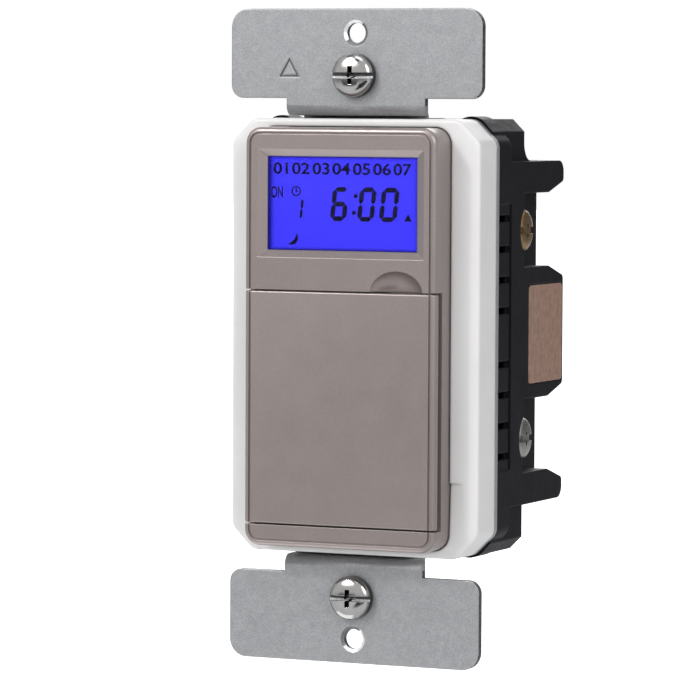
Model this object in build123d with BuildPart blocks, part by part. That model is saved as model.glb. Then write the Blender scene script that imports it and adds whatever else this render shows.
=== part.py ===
"""Timer light switch for a wall box, in millimetres.

The origin is the middle of the two cover-plate screw holes, on the back of the
mounting strap's ears, which is the surface of the wall. +X is to the right of
someone facing the switch, +Y goes into the wall and +Z is up.
"""

import os

from build123d import *

os.makedirs("parts", exist_ok=True)

# Clearances and overruns
cut_overrun = 1.0
fit_clearance = 0.15
slide_clearance = 0.2
pin_clearance = 0.05
thread_clearance = 0.02
seat_gap = 0.1

# Mounting strap: one steel strip with two ears, two necks and a set-back middle plate
strap_thickness = 1.2
strap_setback = 6.6
strap_bend_radius = 0.4
ear_overhang = 0.25
ear_length = 14.3
ear_end_radius = 2.9
ear_inner_radius = 2.1
neck_length = 3.2
neck_inset = 9.55
neck_rise = 0.45
wall_hole_inset = 3.88
wall_hole_radius = 1.6
wall_hole_rim = 0.3
box_screw_inset = 3.67
box_slot_length = 6.4
box_slot_width = 4.2
strap_side = 6.85
strap_end = 5.8

# Outline that the front frame, the strap's middle plate and the housing's flange share
frame_border = 5.0
frame_end_border = 1.35
corner_cut = 3.7
corner_round = 2.2

# White front frame
frame_proud = 0.1
frame_wall = 1.5
frame_face = 1.5
frame_edge_radius = 0.5
frame_post_radius = 1.25
frame_post_gap = 0.1
frame_post_tip = 0.8
pry_notch_width = 2.3
pry_notch_height = 9.7
pry_notch_depth = 0.5
pry_notch_rise = 2.4

# Front bezel, the coloured face that comes through the cover plate
bezel_width = 33.3
bezel_height = 66.9
bezel_proud = 5.8
bezel_wall = 1.4
bezel_face = 1.6
bezel_corner = 2.6
bezel_shoulder = 0.8
bezel_end_gap = 0.2
bezel_hook_reach = 0.6
bezel_hook_height = 6.0
bezel_hook_thickness = 1.2
bezel_hook_spacing = 40.0
board_post_radius = 1.0
board_post_inset = 1.6

# Display window in the bezel
glass_side_margin = 3.7
glass_height = 14.8
bevel_width = 1.6
bevel_drop = 1.2
bevel_depth = 1.0
bevel_corner = 1.0
window_lip = 0.9
window_thickness = 0.8
panel_thickness = 1.6
backlight_thickness = 1.8
contact_ledge = 2.0
contact_strip_width = 1.4
contact_strip_inset = 0.8
holder_wall = 0.6
holder_floor = 0.8
holder_top_gap = 1.65
holder_bar_gap = 1.1

# Door pocket, door and its left-hand hinge
sill_height = 3.4
door_gap = 0.25
door_plate = 1.4
door_skirt = 2.0
door_side = 1.2
door_end = 1.0
door_edge_radius = 0.25
hinge_inset = 1.2
hinge_pin_radius = 0.6
hinge_pin_length = 1.5
hinge_hole_depth = 1.8
hinge_rib_width = 2.3
hinge_rib_round = 0.9
side_wall_setback = 2.8
cross_bar_height = 3.6
notch_inset = 6.8
notch_half_width = 4.5
notch_height = 3.2
notch_depth = 1.4

# Key deck and keys behind the door
deck_setback = 3.2
deck_thickness = 1.2
key_proud = 0.9
key_flange = 0.6
key_flange_reach = 0.6
key_corner = 1.0
key_edge_radius = 0.25
key_left_margin = 1.55
key_column_gap = 2.0
key_height_share = 0.12
key_row_share = 0.27
on_off_width = 7.6
on_off_gap = 3.1
on_off_margin = 1.85
on_off_height_share = 0.37
reset_radius = 1.1
reset_rise_share = 0.37
key_stem_radius = 1.2
door_nub_radius = 1.5
door_nub_gap = 0.3

# Control board with its tact switches
board_standoff = 3.2
board_thickness = 1.2
board_edge_gap = 0.25
board_corner = 0.8
tact_size = 4.5
tact_height = 1.5
plunger_radius = 1.0
plunger_proud = 0.5
plunger_depth = 0.6
plunger_space = 0.4

# Parts on the back of the control board
battery_radius = 8.0
battery_thickness = 2.0
battery_end_gap = 16.8
battery_cup_wall = 0.8
battery_cup_floor = 0.5
chip_size = 9.0
chip_thickness = 1.4
chip_end_gap = 13.8
driver_length = 6.0
driver_width = 4.0
driver_offset = 9.5
header_width = 16.0
header_depth = 2.5
header_block = 2.6
header_rise = 4.0
header_pin_size = 0.64
header_pin_pitch = 2.54
header_pin_count = 6

# Insulating sheet and power board in the housing
sheet_thickness = 0.3
sheet_side_inset = 0.2
sheet_end_overlap = 0.2
sheet_margin = 0.6
power_board_gap = 1.6
power_board_side_gap = 0.75
power_board_end_gap = 7.0

# Rear housing
housing_wall = 1.5
flange_depth = 4.95
shelf_depth = 10.5
end_block_inset = 1.2
end_block_length = 7.1
end_block_depth = 13.1
end_block_cut = 2.0
housing_depth = 27.2
terminal_recess = 4.8
rear_body_rise = 0.3
lug_thickness = 5.1
lug_tip_thickness = 3.3
lug_slope_start = 6.4
lug_tip_radius = 1.9
block_gap = 6.2
block_slope = 1.8
block_corner_radius = 0.8
haunch_radius = 3.0
locating_boss_radius = 3.4
locating_boss_inset = 4.95
locating_boss_rise = 0.45
end_cavity_wall = 1.95
vent_panel_inset = 13.5
vent_panel_depth = 0.6
vent_slot_height = 1.1
vent_slot_length = 4.0
vent_first = 4.3
vent_end_margin = 2.3
vent_count = 4
vent_groove_width = 0.5
vent_groove_depth = 0.9
board_rest_radius = 1.1
board_rest_inset = 1.2
label_pocket = 0.15
label_thickness = 0.12
label_front_gap = 2.2
label_rear_gap = 0.2
label_end_margin = 2.7

# Assembly screws, from the back through housing and strap into the frame
assembly_screw_inset = 4.5
assembly_screw_radius = 0.8
assembly_head_radius = 1.5
assembly_head_height = 1.2
assembly_head_clearance = 0.2
assembly_slot_width = 0.5
assembly_slot_depth = 0.5

# Terminal screws, clamp plates and terminals at the sides
terminal_lug_gap = 5.75
terminal_setback = 3.0
terminal_thickness = 0.8
terminal_plate_half = 4.0
terminal_front_reach = 2.8
terminal_rear_reach = 5.2
terminal_leg_width = 3.0
clamp_gap = 0.15
clamp_thickness = 1.0
clamp_half = 3.6
terminal_head_radius = 3.5
terminal_head_height = 2.2
terminal_head_round = 0.7
terminal_shank_radius = 2.08
terminal_shank_length = 8.0
terminal_bore_clearance = 0.4
scallop_clearance = 0.4
terminal_slot_width = 1.1
terminal_slot_depth = 1.1
terminal_cross_length = 4.0

# Captive screws that hold the strap to the wall box
box_head_radius = 3.55
box_head_height = 2.4
box_head_round = 1.3
box_neck_radius = 1.45
box_shank_radius = 1.75
box_shank_length = 19.0
box_slot_cut_width = 0.95
box_slot_cut_depth = 1.1
box_cross_length = 3.6
washer_size = 9.0
washer_thickness = 0.8
washer_setback = 5.0
washer_corner = 1.2

# Relay on the power board
relay_rise_share = 0.24
relay_length_share = 0.36
relay_width = 15.5
relay_height = 15.5
relay_wall = 0.8
relay_base = 1.5
coil_radius = 3.6
coil_end_room = 1.55
bobbin_size = 8.6
bobbin_flange = 0.9
yoke_thickness = 1.0
yoke_width = 8.0
armature_thickness = 0.8
armature_gap = 0.6
armature_pivot_radius = 0.5

# Other parts on the power board
film_capacitor_width_share = 0.28
film_capacitor_length_share = 0.34
film_capacitor_height = 15.0
film_capacitor_offset_share = 0.155
film_capacitor_drop_share = 0.22
electrolytic_radius = 4.0
electrolytic_height = 12.0
electrolytic_offset = 5.2
electrolytic_drop_share = 0.105
varistor_radius_share = 0.156
varistor_thickness = 4.2
varistor_offset_share = 0.175
varistor_drop_share = 0.335
varistor_lead = 1.6
varistor_lead_radius = 0.35
resistor_radius = 1.2
resistor_length_share = 0.09
resistor_pitch = 3.6
resistor_count = 3
resistor_inset = 6.6

# Depths along Y that the pieces share
ear_front = -strap_thickness
plate_front = ear_front + strap_setback
plate_back = plate_front + strap_thickness
frame_front = ear_front - frame_proud
frame_depth = plate_front - frame_front
frame_face_back = frame_front + frame_face
bezel_front = frame_front - bezel_proud
bezel_back = plate_front - bezel_end_gap
side_wall_front = bezel_front + side_wall_setback
deck_front = bezel_front + deck_setback
deck_back = deck_front + deck_thickness
window_front = bezel_front + bevel_depth
panel_front = window_front + window_thickness
backlight_front = panel_front + panel_thickness
backlight_back = backlight_front + backlight_thickness
board_front = deck_back + board_standoff
board_back = board_front + board_thickness
tact_front = board_front - tact_height
key_back = tact_front - plunger_proud
key_front = deck_front - key_proud
flange_front = deck_back + seat_gap
door_inner = bezel_front + door_plate
door_skirt_back = bezel_front + door_skirt
power_board_front = plate_back + power_board_gap
power_board_back = power_board_front + board_thickness
flange_back = plate_back + flange_depth
shelf_back = plate_back + shelf_depth
end_block_back = plate_back + end_block_depth
housing_back = plate_back + housing_depth
terminal_axis = shelf_back + terminal_setback

# Outlines that follow the bezel: the body round it, and the strap with its holes beyond the body
body_width = bezel_width + 2 * frame_border
body_height = bezel_height + 2 * frame_end_border
body_side = body_width / 2
ear_width = body_width + 2 * ear_overhang
neck_width = body_width - 2 * neck_inset
strap_length = body_height + 2 * (neck_length + ear_length)
strap_window_width = body_width - 2 * strap_side
strap_window_height = body_height - 2 * strap_end
wall_hole_spacing = strap_length - 2 * wall_hole_inset
box_screw_spacing = body_height + 2 * (neck_length + box_screw_inset)
assembly_screw_offset = bezel_width / 2 + fit_clearance + frame_post_gap + frame_post_radius
assembly_screw_height = body_height / 2 - assembly_screw_inset

# Inside the bezel: the display at the top, the door's pocket under it and the board behind both
inner_width = bezel_width - 2 * bezel_wall
inner_height = bezel_height - 2 * bezel_wall
board_width = inner_width - 2 * board_edge_gap
board_height = inner_height - 2 * board_edge_gap
glass_width = bezel_width - 2 * glass_side_margin
window_width = glass_width + 2 * window_lip
window_height = glass_height + 2 * window_lip
holder_width = window_width + 2 * (fit_clearance + holder_wall)
holder_height = window_height + 2 * (fit_clearance + holder_wall)
display_height = inner_height / 2 - holder_top_gap - holder_height / 2
pocket_top = display_height - holder_height / 2 - holder_bar_gap - cross_bar_height
pocket_bottom = sill_height - bezel_height / 2
pocket_middle = (pocket_top + pocket_bottom) / 2
pocket_height = pocket_top - pocket_bottom
door_height = pocket_height - 2 * door_gap
hinge_x = -bezel_width / 2 + hinge_inset
hinge_y = bezel_front + hinge_inset
notch_centre = bezel_width / 2 - notch_inset
battery_drop = board_height / 2 - battery_end_gap
chip_rise = board_height / 2 - chip_end_gap

# Keys: two columns share the width that the margins, the gaps and the ON and OFF key leave
key_gaps = key_left_margin + key_column_gap + on_off_gap + on_off_margin
key_width = (inner_width - key_gaps - on_off_width) / 2
key_height = key_height_share * pocket_height
key_row_pitch = key_row_share * pocket_height
key_column_pitch = key_width + key_column_gap
first_column = key_left_margin + (key_width - inner_width) / 2
on_off_column = (inner_width - on_off_width) / 2 - on_off_margin
on_off_height = on_off_height_share * pocket_height
reset_rise = reset_rise_share * pocket_height

# Housing and what it holds
end_block_width = body_width - 2 * end_block_inset
core_width = body_width - 2 * terminal_recess
core_side = core_width / 2
core_half_height = body_height / 2 - end_block_length
lug_outer = rear_body_rise + core_half_height
lug_inner = core_half_height - lug_thickness
lug_tip_inner = core_half_height - lug_tip_thickness
terminal_height = lug_inner - terminal_lug_gap
block_half_height = terminal_height - block_gap
end_cavity_width = 2 * (
    assembly_screw_offset - assembly_head_radius - assembly_head_clearance - end_cavity_wall
)
locating_boss_offset = body_width / 2 - locating_boss_inset
vent_panel_height = body_height - 2 * vent_panel_inset
vent_pitch = (vent_panel_height / 2 - vent_end_margin - vent_first) / (vent_count - 1)
label_width = housing_depth - shelf_depth - label_front_gap - label_rear_gap
label_height = 2 * (block_half_height - label_end_margin)
power_board_width = body_width - 2 * (housing_wall + power_board_side_gap)
power_board_height = body_height - 2 * (housing_wall + power_board_end_gap)
board_rest_offset = power_board_width / 2 - board_rest_inset
block_hollow_half = block_half_height - block_slope - housing_wall
board_rest_height = rear_body_rise + block_hollow_half + board_rest_radius + fit_clearance
sheet_width = power_board_width - 2 * sheet_side_inset
sheet_height = power_board_height + 2 * sheet_end_overlap

# Parts on the power board share the width and the length of the housing's deep hollow
hollow_width = core_width - 2 * housing_wall
hollow_height = 2 * (core_half_height - housing_wall)
relay_rise = relay_rise_share * hollow_height
relay_length = relay_length_share * hollow_height
coil_length = relay_length - 2 * (relay_wall + bobbin_flange + yoke_thickness + coil_end_room)
film_capacitor_width = film_capacitor_width_share * hollow_width
film_capacitor_offset = -film_capacitor_offset_share * hollow_width
film_capacitor_length = film_capacitor_length_share * hollow_height
film_capacitor_drop = film_capacitor_drop_share * hollow_height
electrolytic_drop = electrolytic_drop_share * hollow_height
varistor_radius = varistor_radius_share * hollow_width
varistor_offset = varistor_offset_share * hollow_width
varistor_drop = varistor_drop_share * hollow_height
resistor_length = resistor_length_share * hollow_height
resistor_offset = resistor_inset - power_board_width / 2
resistor_rise = (relay_rise - relay_length / 2 + film_capacitor_length / 2 - film_capacitor_drop) / 2


def front_view(depth):
    """A plane across the switch at a depth, seen from the front, whose extrusions come forward."""
    return Plane.XZ.offset(-depth)


def body_outline(inset=0):
    """The outline with cut corners, drawn in by an inset."""
    with BuildSketch() as outline:
        Rectangle(body_width, body_height)
        chamfer(outline.vertices(), length=corner_cut)
        fillet(outline.vertices(), radius=corner_round)
        if inset:
            offset(amount=-inset, mode=Mode.REPLACE)
    return outline.sketch


def combination_screw(seat, head, shank, drive):
    """A screw whose head stands on a seat plane, with a slot along the plane's X and a cross recess."""
    head_radius, head_height, head_round = head
    shank_radius, shank_length = shank
    slot_width, slot_depth, cross_length = drive
    with BuildPart() as made:
        with BuildSketch(seat):
            Circle(head_radius)
        extrude(amount=head_height)
        top = made.faces().sort_by(Axis(seat.origin, seat.z_dir))[-1]
        fillet(top.edges(), radius=head_round)
        with BuildSketch(seat.offset(head_height)):
            Rectangle(2 * head_radius, slot_width)
            Rectangle(slot_width, cross_length)
        extrude(amount=-slot_depth, mode=Mode.SUBTRACT)
        with BuildSketch(seat):
            Circle(shank_radius)
        extrude(amount=-shank_length)
    return made.part


# Keys: name, column across, row height, width and height; a round key has one size
key_rows = [pocket_middle + row * key_row_pitch for row in (1, 0, -1)]
key_columns = [first_column + column * key_column_pitch for column in (0, 1)]
small_key_names = ["program_key", "clock_key", "day_key", "random_key", "hour_key", "minute_key"]
key_places = [(x, z) for z in key_rows for x in key_columns]
keys = [(name, x, z, key_width, key_height) for name, (x, z) in zip(small_key_names, key_places)]
keys.append(("on_off_key", on_off_column, pocket_middle, on_off_width, on_off_height))
reset_place = (on_off_column, pocket_middle + reset_rise)
switch_places = [(x, z) for name, x, z, width, height in keys] + [reset_place]

# Front bezel: rounded box open at the back, door pocket across it, display window above
with BuildPart() as front_bezel:
    with BuildSketch(front_view(bezel_back)):
        RectangleRounded(bezel_width, bezel_height, bezel_corner)
    extrude(amount=bezel_back - bezel_front)
    fillet(front_bezel.faces().sort_by(Axis.Y)[0].edges(), radius=bezel_shoulder)
    with BuildSketch(front_view(bezel_back)):
        RectangleRounded(inner_width, inner_height, bezel_corner - bezel_wall)
    extrude(amount=bezel_back - bezel_front - bezel_face, mode=Mode.SUBTRACT)
    with BuildSketch(front_view(deck_back)):
        with Locations((0, pocket_top + cross_bar_height / 2)):
            Rectangle(inner_width + fit_clearance, cross_bar_height)
        with Locations((0, (pocket_bottom - inner_height / 2) / 2)):
            Rectangle(inner_width + fit_clearance, inner_height / 2 + pocket_bottom)
    extrude(amount=deck_back - bezel_front - bezel_face / 2)
    with BuildSketch(front_view(side_wall_front)):
        with Locations((0, pocket_middle)):
            Rectangle(bezel_width + 2 * cut_overrun, pocket_height)
    extrude(amount=side_wall_setback + cut_overrun, mode=Mode.SUBTRACT)
    with BuildSketch(front_view(deck_back)):
        with Locations((0, pocket_middle)):
            Rectangle(inner_width + fit_clearance, pocket_height)
    extrude(amount=deck_thickness)
    # Sloping bevel round the display, and the seat of the clear window behind it
    with BuildSketch(front_view(bezel_front)):
        with Locations((0, display_height)):
            RectangleRounded(glass_width + 2 * bevel_width, glass_height + 2 * bevel_drop, bevel_corner)
    with BuildSketch(front_view(window_front)):
        with Locations((0, display_height)):
            RectangleRounded(glass_width, glass_height, bevel_corner / 2)
    loft(mode=Mode.SUBTRACT)
    with BuildSketch(front_view(board_front)):
        with Locations((0, display_height)):
            Rectangle(window_width + 2 * fit_clearance, window_height + 2 * fit_clearance)
    extrude(amount=board_front - window_front, mode=Mode.SUBTRACT)
    # Holes for the keys
    with BuildSketch(front_view(deck_back)):
        for name, x, z, width, height in keys:
            with Locations((x, z)):
                RectangleRounded(width + 2 * slide_clearance, height + 2 * slide_clearance, key_corner)
        with Locations(reset_place):
            Circle(reset_radius + slide_clearance)
    extrude(amount=deck_thickness, mode=Mode.SUBTRACT)
    # Holes for the door's hinge pins
    with BuildSketch(Plane.XY.offset(pocket_top)):
        with Locations((hinge_x, hinge_y)):
            Circle(hinge_pin_radius + pin_clearance)
    extrude(amount=hinge_hole_depth, mode=Mode.SUBTRACT)
    with BuildSketch(Plane.XY.offset(pocket_bottom)):
        with Locations((hinge_x, hinge_y)):
            Circle(hinge_pin_radius + pin_clearance)
    extrude(amount=-hinge_hole_depth, mode=Mode.SUBTRACT)
    # Finger notch above the door's free end: a shallow ball-shaped scoop
    notch_radius = (notch_half_width**2 + notch_height**2) / (2 * notch_height)
    scoop_radius = (notch_radius**2 + notch_depth**2) / (2 * notch_depth)
    notch_middle = pocket_top + notch_height - notch_radius
    with Locations((notch_centre, bezel_front + notch_depth - scoop_radius, notch_middle)):
        Sphere(scoop_radius, mode=Mode.SUBTRACT)
    # Posts that the control board rests on
    post_x = inner_width / 2 - board_post_inset
    with BuildSketch(front_view(board_front)):
        with Locations((-post_x, pocket_top + board_post_inset), (post_x, pocket_top + board_post_inset)):
            Circle(board_post_radius)
        with Locations((-post_x, pocket_bottom - board_post_radius), (post_x, pocket_bottom - board_post_radius)):
            Circle(board_post_radius)
    extrude(amount=board_standoff)
    # Hooks that snap behind the frame's face
    hook_front = frame_face_back + seat_gap
    with BuildSketch(front_view(hook_front + bezel_hook_thickness)):
        with GridLocations(bezel_width, bezel_hook_spacing, 2, 2):
            Rectangle(2 * bezel_hook_reach, bezel_hook_height)
        Rectangle(inner_width, inner_height, mode=Mode.SUBTRACT)
    extrude(amount=bezel_hook_thickness)
front_bezel.part.label = "front_bezel"
export_step(front_bezel.part, "parts/front_bezel.step")

# Door: a flat cap with a skirt, a solid rib on its hinge side and two moulded pins
with BuildPart() as door:
    with BuildSketch(front_view(door_skirt_back)):
        with Locations((0, pocket_middle)):
            Rectangle(bezel_width, door_height)
    extrude(amount=door_skirt)
    side_edges = door.faces().sort_by(Axis.Y)[0].edges().filter_by(Axis.Z)
    fillet(side_edges, radius=bezel_shoulder)
    end_edges = door.faces().sort_by(Axis.Y)[0].edges().filter_by(Axis.X)
    fillet(end_edges, radius=door_edge_radius)
    with BuildSketch(front_view(door_skirt_back)):
        hollow_left = -bezel_width / 2 + hinge_rib_width
        hollow_right = bezel_width / 2 - door_side
        with Locations(((hollow_left + hollow_right) / 2, pocket_middle)):
            Rectangle(hollow_right - hollow_left, door_height - 2 * door_end)
    extrude(amount=door_skirt - door_plate, mode=Mode.SUBTRACT)
    rear_left = door.edges().filter_by(Axis.Z).group_by(Axis.X)[0].sort_by(Axis.Y)[-1]
    fillet(rear_left, radius=hinge_rib_round)
    with BuildSketch(Plane.XY.offset(pocket_middle - door_height / 2 - hinge_pin_length)):
        with Locations((hinge_x, hinge_y)):
            Circle(hinge_pin_radius)
    extrude(amount=door_height + 2 * hinge_pin_length)
    nub_length = key_front - door_nub_gap - door_inner
    with BuildSketch(front_view(door_inner + nub_length)):
        with Locations((on_off_column, pocket_middle)):
            Circle(door_nub_radius)
    extrude(amount=nub_length)
door.part.label = "door"
export_step(door.part, "parts/door.step")

# Clear window behind the bevel
with BuildPart() as lcd_window:
    with BuildSketch(front_view(panel_front)):
        with Locations((0, display_height)):
            Rectangle(window_width, window_height)
    extrude(amount=window_thickness)
lcd_window.part.label = "lcd_window"
export_step(lcd_window.part, "parts/lcd_window.step")

# Liquid crystal panel: glass as large as the window
with BuildPart() as lcd_panel:
    with BuildSketch(front_view(backlight_front)):
        with Locations((0, display_height)):
            Rectangle(window_width, window_height)
    extrude(amount=panel_thickness)
lcd_panel.part.label = "lcd_panel"
export_step(lcd_panel.part, "parts/lcd_panel.step")

# Backlight: a light guide between the two contact ledges
backlight_height = window_height - 2 * contact_ledge
with BuildPart() as lcd_backlight:
    with BuildSketch(front_view(backlight_back)):
        with Locations((0, display_height)):
            Rectangle(window_width, backlight_height)
    extrude(amount=backlight_thickness)
lcd_backlight.part.label = "lcd_backlight"
export_step(lcd_backlight.part, "parts/lcd_backlight.step")

# Display holder: a ring round the panel with a floor, slotted for the contact strips
strip_middle = window_height / 2 - contact_strip_inset
with BuildPart() as lcd_holder:
    with BuildSketch(front_view(board_front)):
        with Locations((0, display_height)):
            Rectangle(holder_width, holder_height)
    extrude(amount=board_front - bezel_front - bezel_face - seat_gap)
    with BuildSketch(front_view(backlight_back)):
        with Locations((0, display_height)):
            Rectangle(window_width + 2 * fit_clearance, window_height + 2 * fit_clearance)
    extrude(amount=backlight_back - bezel_front, mode=Mode.SUBTRACT)
    with BuildSketch(front_view(board_front)):
        with Locations((0, display_height)):
            Rectangle(holder_width - 4 * holder_wall, backlight_height - 2 * holder_wall)
    extrude(amount=board_front - backlight_back - holder_floor, mode=Mode.SUBTRACT)
    with BuildSketch(front_view(board_front)):
        with Locations((0, display_height - strip_middle), (0, display_height + strip_middle)):
            Rectangle(window_width + fit_clearance, contact_strip_width + 2 * fit_clearance)
    extrude(amount=board_front - backlight_back, mode=Mode.SUBTRACT)
lcd_holder.part.label = "lcd_holder"
export_step(lcd_holder.part, "parts/lcd_holder.step")

# Two rubber contact strips from the panel to the board
with BuildPart() as contact_strips:
    with BuildSketch(front_view(board_front)):
        with Locations((0, display_height - strip_middle), (0, display_height + strip_middle)):
            Rectangle(glass_width, contact_strip_width)
    extrude(amount=board_front - backlight_front)
contact_strips.part.label = "contact_strips"
export_step(contact_strips.part, "parts/contact_strips.step")

# White front frame: a shallow tray with the bezel's opening, four screw posts and a pry notch
with BuildPart() as front_frame:
    with BuildSketch(front_view(plate_front)):
        add(body_outline())
    extrude(amount=frame_depth)
    fillet(front_frame.faces().sort_by(Axis.Y)[0].edges(), radius=frame_edge_radius)
    with BuildSketch(front_view(plate_front)):
        add(body_outline(frame_wall))
    extrude(amount=frame_depth - frame_face, mode=Mode.SUBTRACT)
    with BuildSketch(front_view(plate_front)):
        with GridLocations(2 * assembly_screw_offset, 2 * assembly_screw_height, 2, 2):
            Circle(frame_post_radius)
    extrude(amount=frame_depth - frame_face / 2)
    with BuildSketch(front_view(plate_front)):
        with GridLocations(2 * assembly_screw_offset, 2 * assembly_screw_height, 2, 2):
            Circle(assembly_screw_radius + thread_clearance)
    extrude(amount=frame_depth - frame_face - frame_post_tip, mode=Mode.SUBTRACT)
    opening_width = bezel_width + 2 * fit_clearance
    opening_height = bezel_height + 2 * fit_clearance
    with BuildSketch(front_view(plate_front)):
        RectangleRounded(opening_width, opening_height, bezel_corner + fit_clearance)
    extrude(amount=frame_depth + cut_overrun, mode=Mode.SUBTRACT)
    with BuildSketch(front_view(frame_front + pry_notch_depth)):
        with Locations((opening_width / 2, pry_notch_rise - body_height / 2)):
            Rectangle(pry_notch_width, pry_notch_height, align=(Align.MIN, Align.MIN))
    extrude(amount=pry_notch_depth + cut_overrun, mode=Mode.SUBTRACT)
front_frame.part.label = "front_frame"
export_step(front_frame.part, "parts/front_frame.step")

# Mounting strap: the side profile of the bent strip, cut to its outline from the front
with BuildPart() as mounting_strap:
    neck_under = body_height / 2 + neck_rise
    outer_bend = strap_bend_radius + strap_thickness
    with BuildSketch(Plane.YZ) as profile:
        with BuildLine():
            FilletPolyline(
                (ear_front, strap_length / 2),
                (ear_front, neck_under),
                (plate_front, neck_under),
                (plate_front, -neck_under),
                (ear_front, -neck_under),
                (ear_front, -strap_length / 2),
                radius=[outer_bend, strap_bend_radius, strap_bend_radius, outer_bend],
            )
            offset(amount=strap_thickness, side=Side.LEFT)
        make_face()
    extrude(amount=ear_width, both=True)
    with BuildSketch(front_view(plate_back + strap_thickness)) as outline:
        with Locations((0, strap_length / 2), (0, -strap_length / 2)):
            Rectangle(ear_width, 2 * ear_length)
        Rectangle(ear_width + 2 * cut_overrun, strap_length - 2 * ear_length, mode=Mode.SUBTRACT)
        ear_corners = outline.vertices().group_by(Axis.Y)
        fillet(ear_corners[1] + ear_corners[2], radius=ear_inner_radius)
        Rectangle(neck_width, strap_length - ear_length)
        add(body_outline())
        Rectangle(2 * ear_width, strap_length, mode=Mode.INTERSECT)
        end_corners = outline.vertices().group_by(Axis.Y)
        fillet(end_corners[0] + end_corners[-1], radius=ear_end_radius)
    extrude(amount=plate_back + 2 * strap_thickness + cut_overrun, mode=Mode.INTERSECT)
    with BuildSketch(front_view(plate_back)):
        Rectangle(strap_window_width, strap_window_height)
        with GridLocations(2 * assembly_screw_offset, 2 * assembly_screw_height, 2, 2):
            Circle(assembly_screw_radius + fit_clearance)
    extrude(amount=strap_thickness, mode=Mode.SUBTRACT)
    with BuildSketch(front_view(0)):
        with GridLocations(0, wall_hole_spacing, 1, 2):
            Circle(wall_hole_radius)
        with GridLocations(0, box_screw_spacing, 1, 2):
            SlotOverall(box_slot_length, box_slot_width)
    extrude(amount=strap_thickness, mode=Mode.SUBTRACT)
    front_rims = mounting_strap.edges().filter_by(GeomType.CIRCLE).group_by(Axis.Y)[0]
    hole_rims = front_rims.filter_by(lambda edge: abs(edge.radius - wall_hole_radius) < thread_clearance)
    chamfer(hole_rims, length=wall_hole_rim)
mounting_strap.part.label = "mounting_strap"
export_step(mounting_strap.part, "parts/mounting_strap.step")

# Control board: it fills the bezel from behind
with BuildPart() as control_board:
    with BuildSketch(front_view(board_back)):
        RectangleRounded(board_width, board_height, board_corner)
    extrude(amount=board_thickness)
control_board.part.label = "control_board"
export_step(control_board.part, "parts/control_board.step")

# Tact switches: one under each key, each with a well for its plunger
with BuildPart() as tact_switches:
    with BuildSketch(front_view(board_front)):
        with Locations(*switch_places):
            Rectangle(tact_size, tact_size)
    extrude(amount=tact_height)
    with BuildSketch(front_view(tact_front + plunger_depth + plunger_space)):
        with Locations(*switch_places):
            Circle(plunger_radius + seat_gap)
    extrude(amount=plunger_depth + plunger_space, mode=Mode.SUBTRACT)
tact_switches.part.label = "tact_switches"
export_step(tact_switches.part, "parts/tact_switches.step")

# Keys: a cap through the deck, a flange behind it and a stem on the switch's plunger
for name, x, z, width, height in keys:
    with BuildPart() as key:
        with BuildSketch(front_view(flange_front)):
            with Locations((x, z)):
                RectangleRounded(width, height, key_corner)
        extrude(amount=flange_front - key_front)
        fillet(key.faces().sort_by(Axis.Y)[0].edges(), radius=key_edge_radius)
        with BuildSketch(front_view(flange_front + key_flange)):
            with Locations((x, z)):
                Rectangle(width + 2 * key_flange_reach, height + 2 * key_flange_reach)
        extrude(amount=key_flange)
        with BuildSketch(front_view(key_back)):
            with Locations((x, z)):
                Circle(key_stem_radius)
        extrude(amount=key_back - flange_front - key_flange)
    key.part.label = name
    export_step(key.part, f"parts/{name}.step")

# Reset key: a small round button just below the deck's face
with BuildPart() as reset_key:
    with BuildSketch(front_view(flange_front)):
        with Locations(reset_place):
            Circle(reset_radius)
    extrude(amount=flange_front - deck_front - seat_gap)
    with BuildSketch(front_view(flange_front + key_flange)):
        with Locations(reset_place):
            Circle(reset_radius + key_flange_reach)
    extrude(amount=key_flange)
    with BuildSketch(front_view(key_back)):
        with Locations(reset_place):
            Circle(reset_radius)
    extrude(amount=key_back - flange_front - key_flange)
reset_key.part.label = "reset_key"
export_step(reset_key.part, "parts/reset_key.step")

# Plungers: one on each tact switch, moved by the key in front of it
plunger_names = [name.replace("_key", "_plunger") for name, *rest in keys] + ["reset_plunger"]
for name, (x, z) in zip(plunger_names, switch_places):
    with BuildPart() as plunger:
        with BuildSketch(front_view(tact_front + plunger_depth)):
            with Locations((x, z)):
                Circle(plunger_radius)
        extrude(amount=plunger_depth + plunger_proud)
    plunger.part.label = name
    export_step(plunger.part, f"parts/{name}.step")

# Battery cup on the back of the control board, and the coin cell in it
with BuildPart() as battery_cup:
    cup_back = board_back + battery_cup_floor + battery_thickness
    with BuildSketch(front_view(cup_back)):
        with Locations((0, -battery_drop)):
            Circle(battery_radius + fit_clearance + battery_cup_wall)
    extrude(amount=cup_back - board_back)
    with BuildSketch(front_view(cup_back)):
        with Locations((0, -battery_drop)):
            Circle(battery_radius + fit_clearance)
    extrude(amount=battery_thickness, mode=Mode.SUBTRACT)
battery_cup.part.label = "battery_cup"
export_step(battery_cup.part, "parts/battery_cup.step")

with BuildPart() as backup_battery:
    with BuildSketch(front_view(cup_back)):
        with Locations((0, -battery_drop)):
            Circle(battery_radius)
    extrude(amount=battery_thickness)
backup_battery.part.label = "backup_battery"
export_step(backup_battery.part, "parts/backup_battery.step")

# Chips on the back of the control board: the controller and two display drivers
with BuildPart() as control_chips:
    with BuildSketch(front_view(board_back + chip_thickness)):
        with Locations((0, chip_rise)):
            Rectangle(chip_size, chip_size)
        with Locations((-driver_offset, chip_rise), (driver_offset, chip_rise)):
            Rectangle(driver_width, driver_length)
    extrude(amount=chip_thickness)
control_chips.part.label = "control_chips"
export_step(control_chips.part, "parts/control_chips.step")

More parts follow.
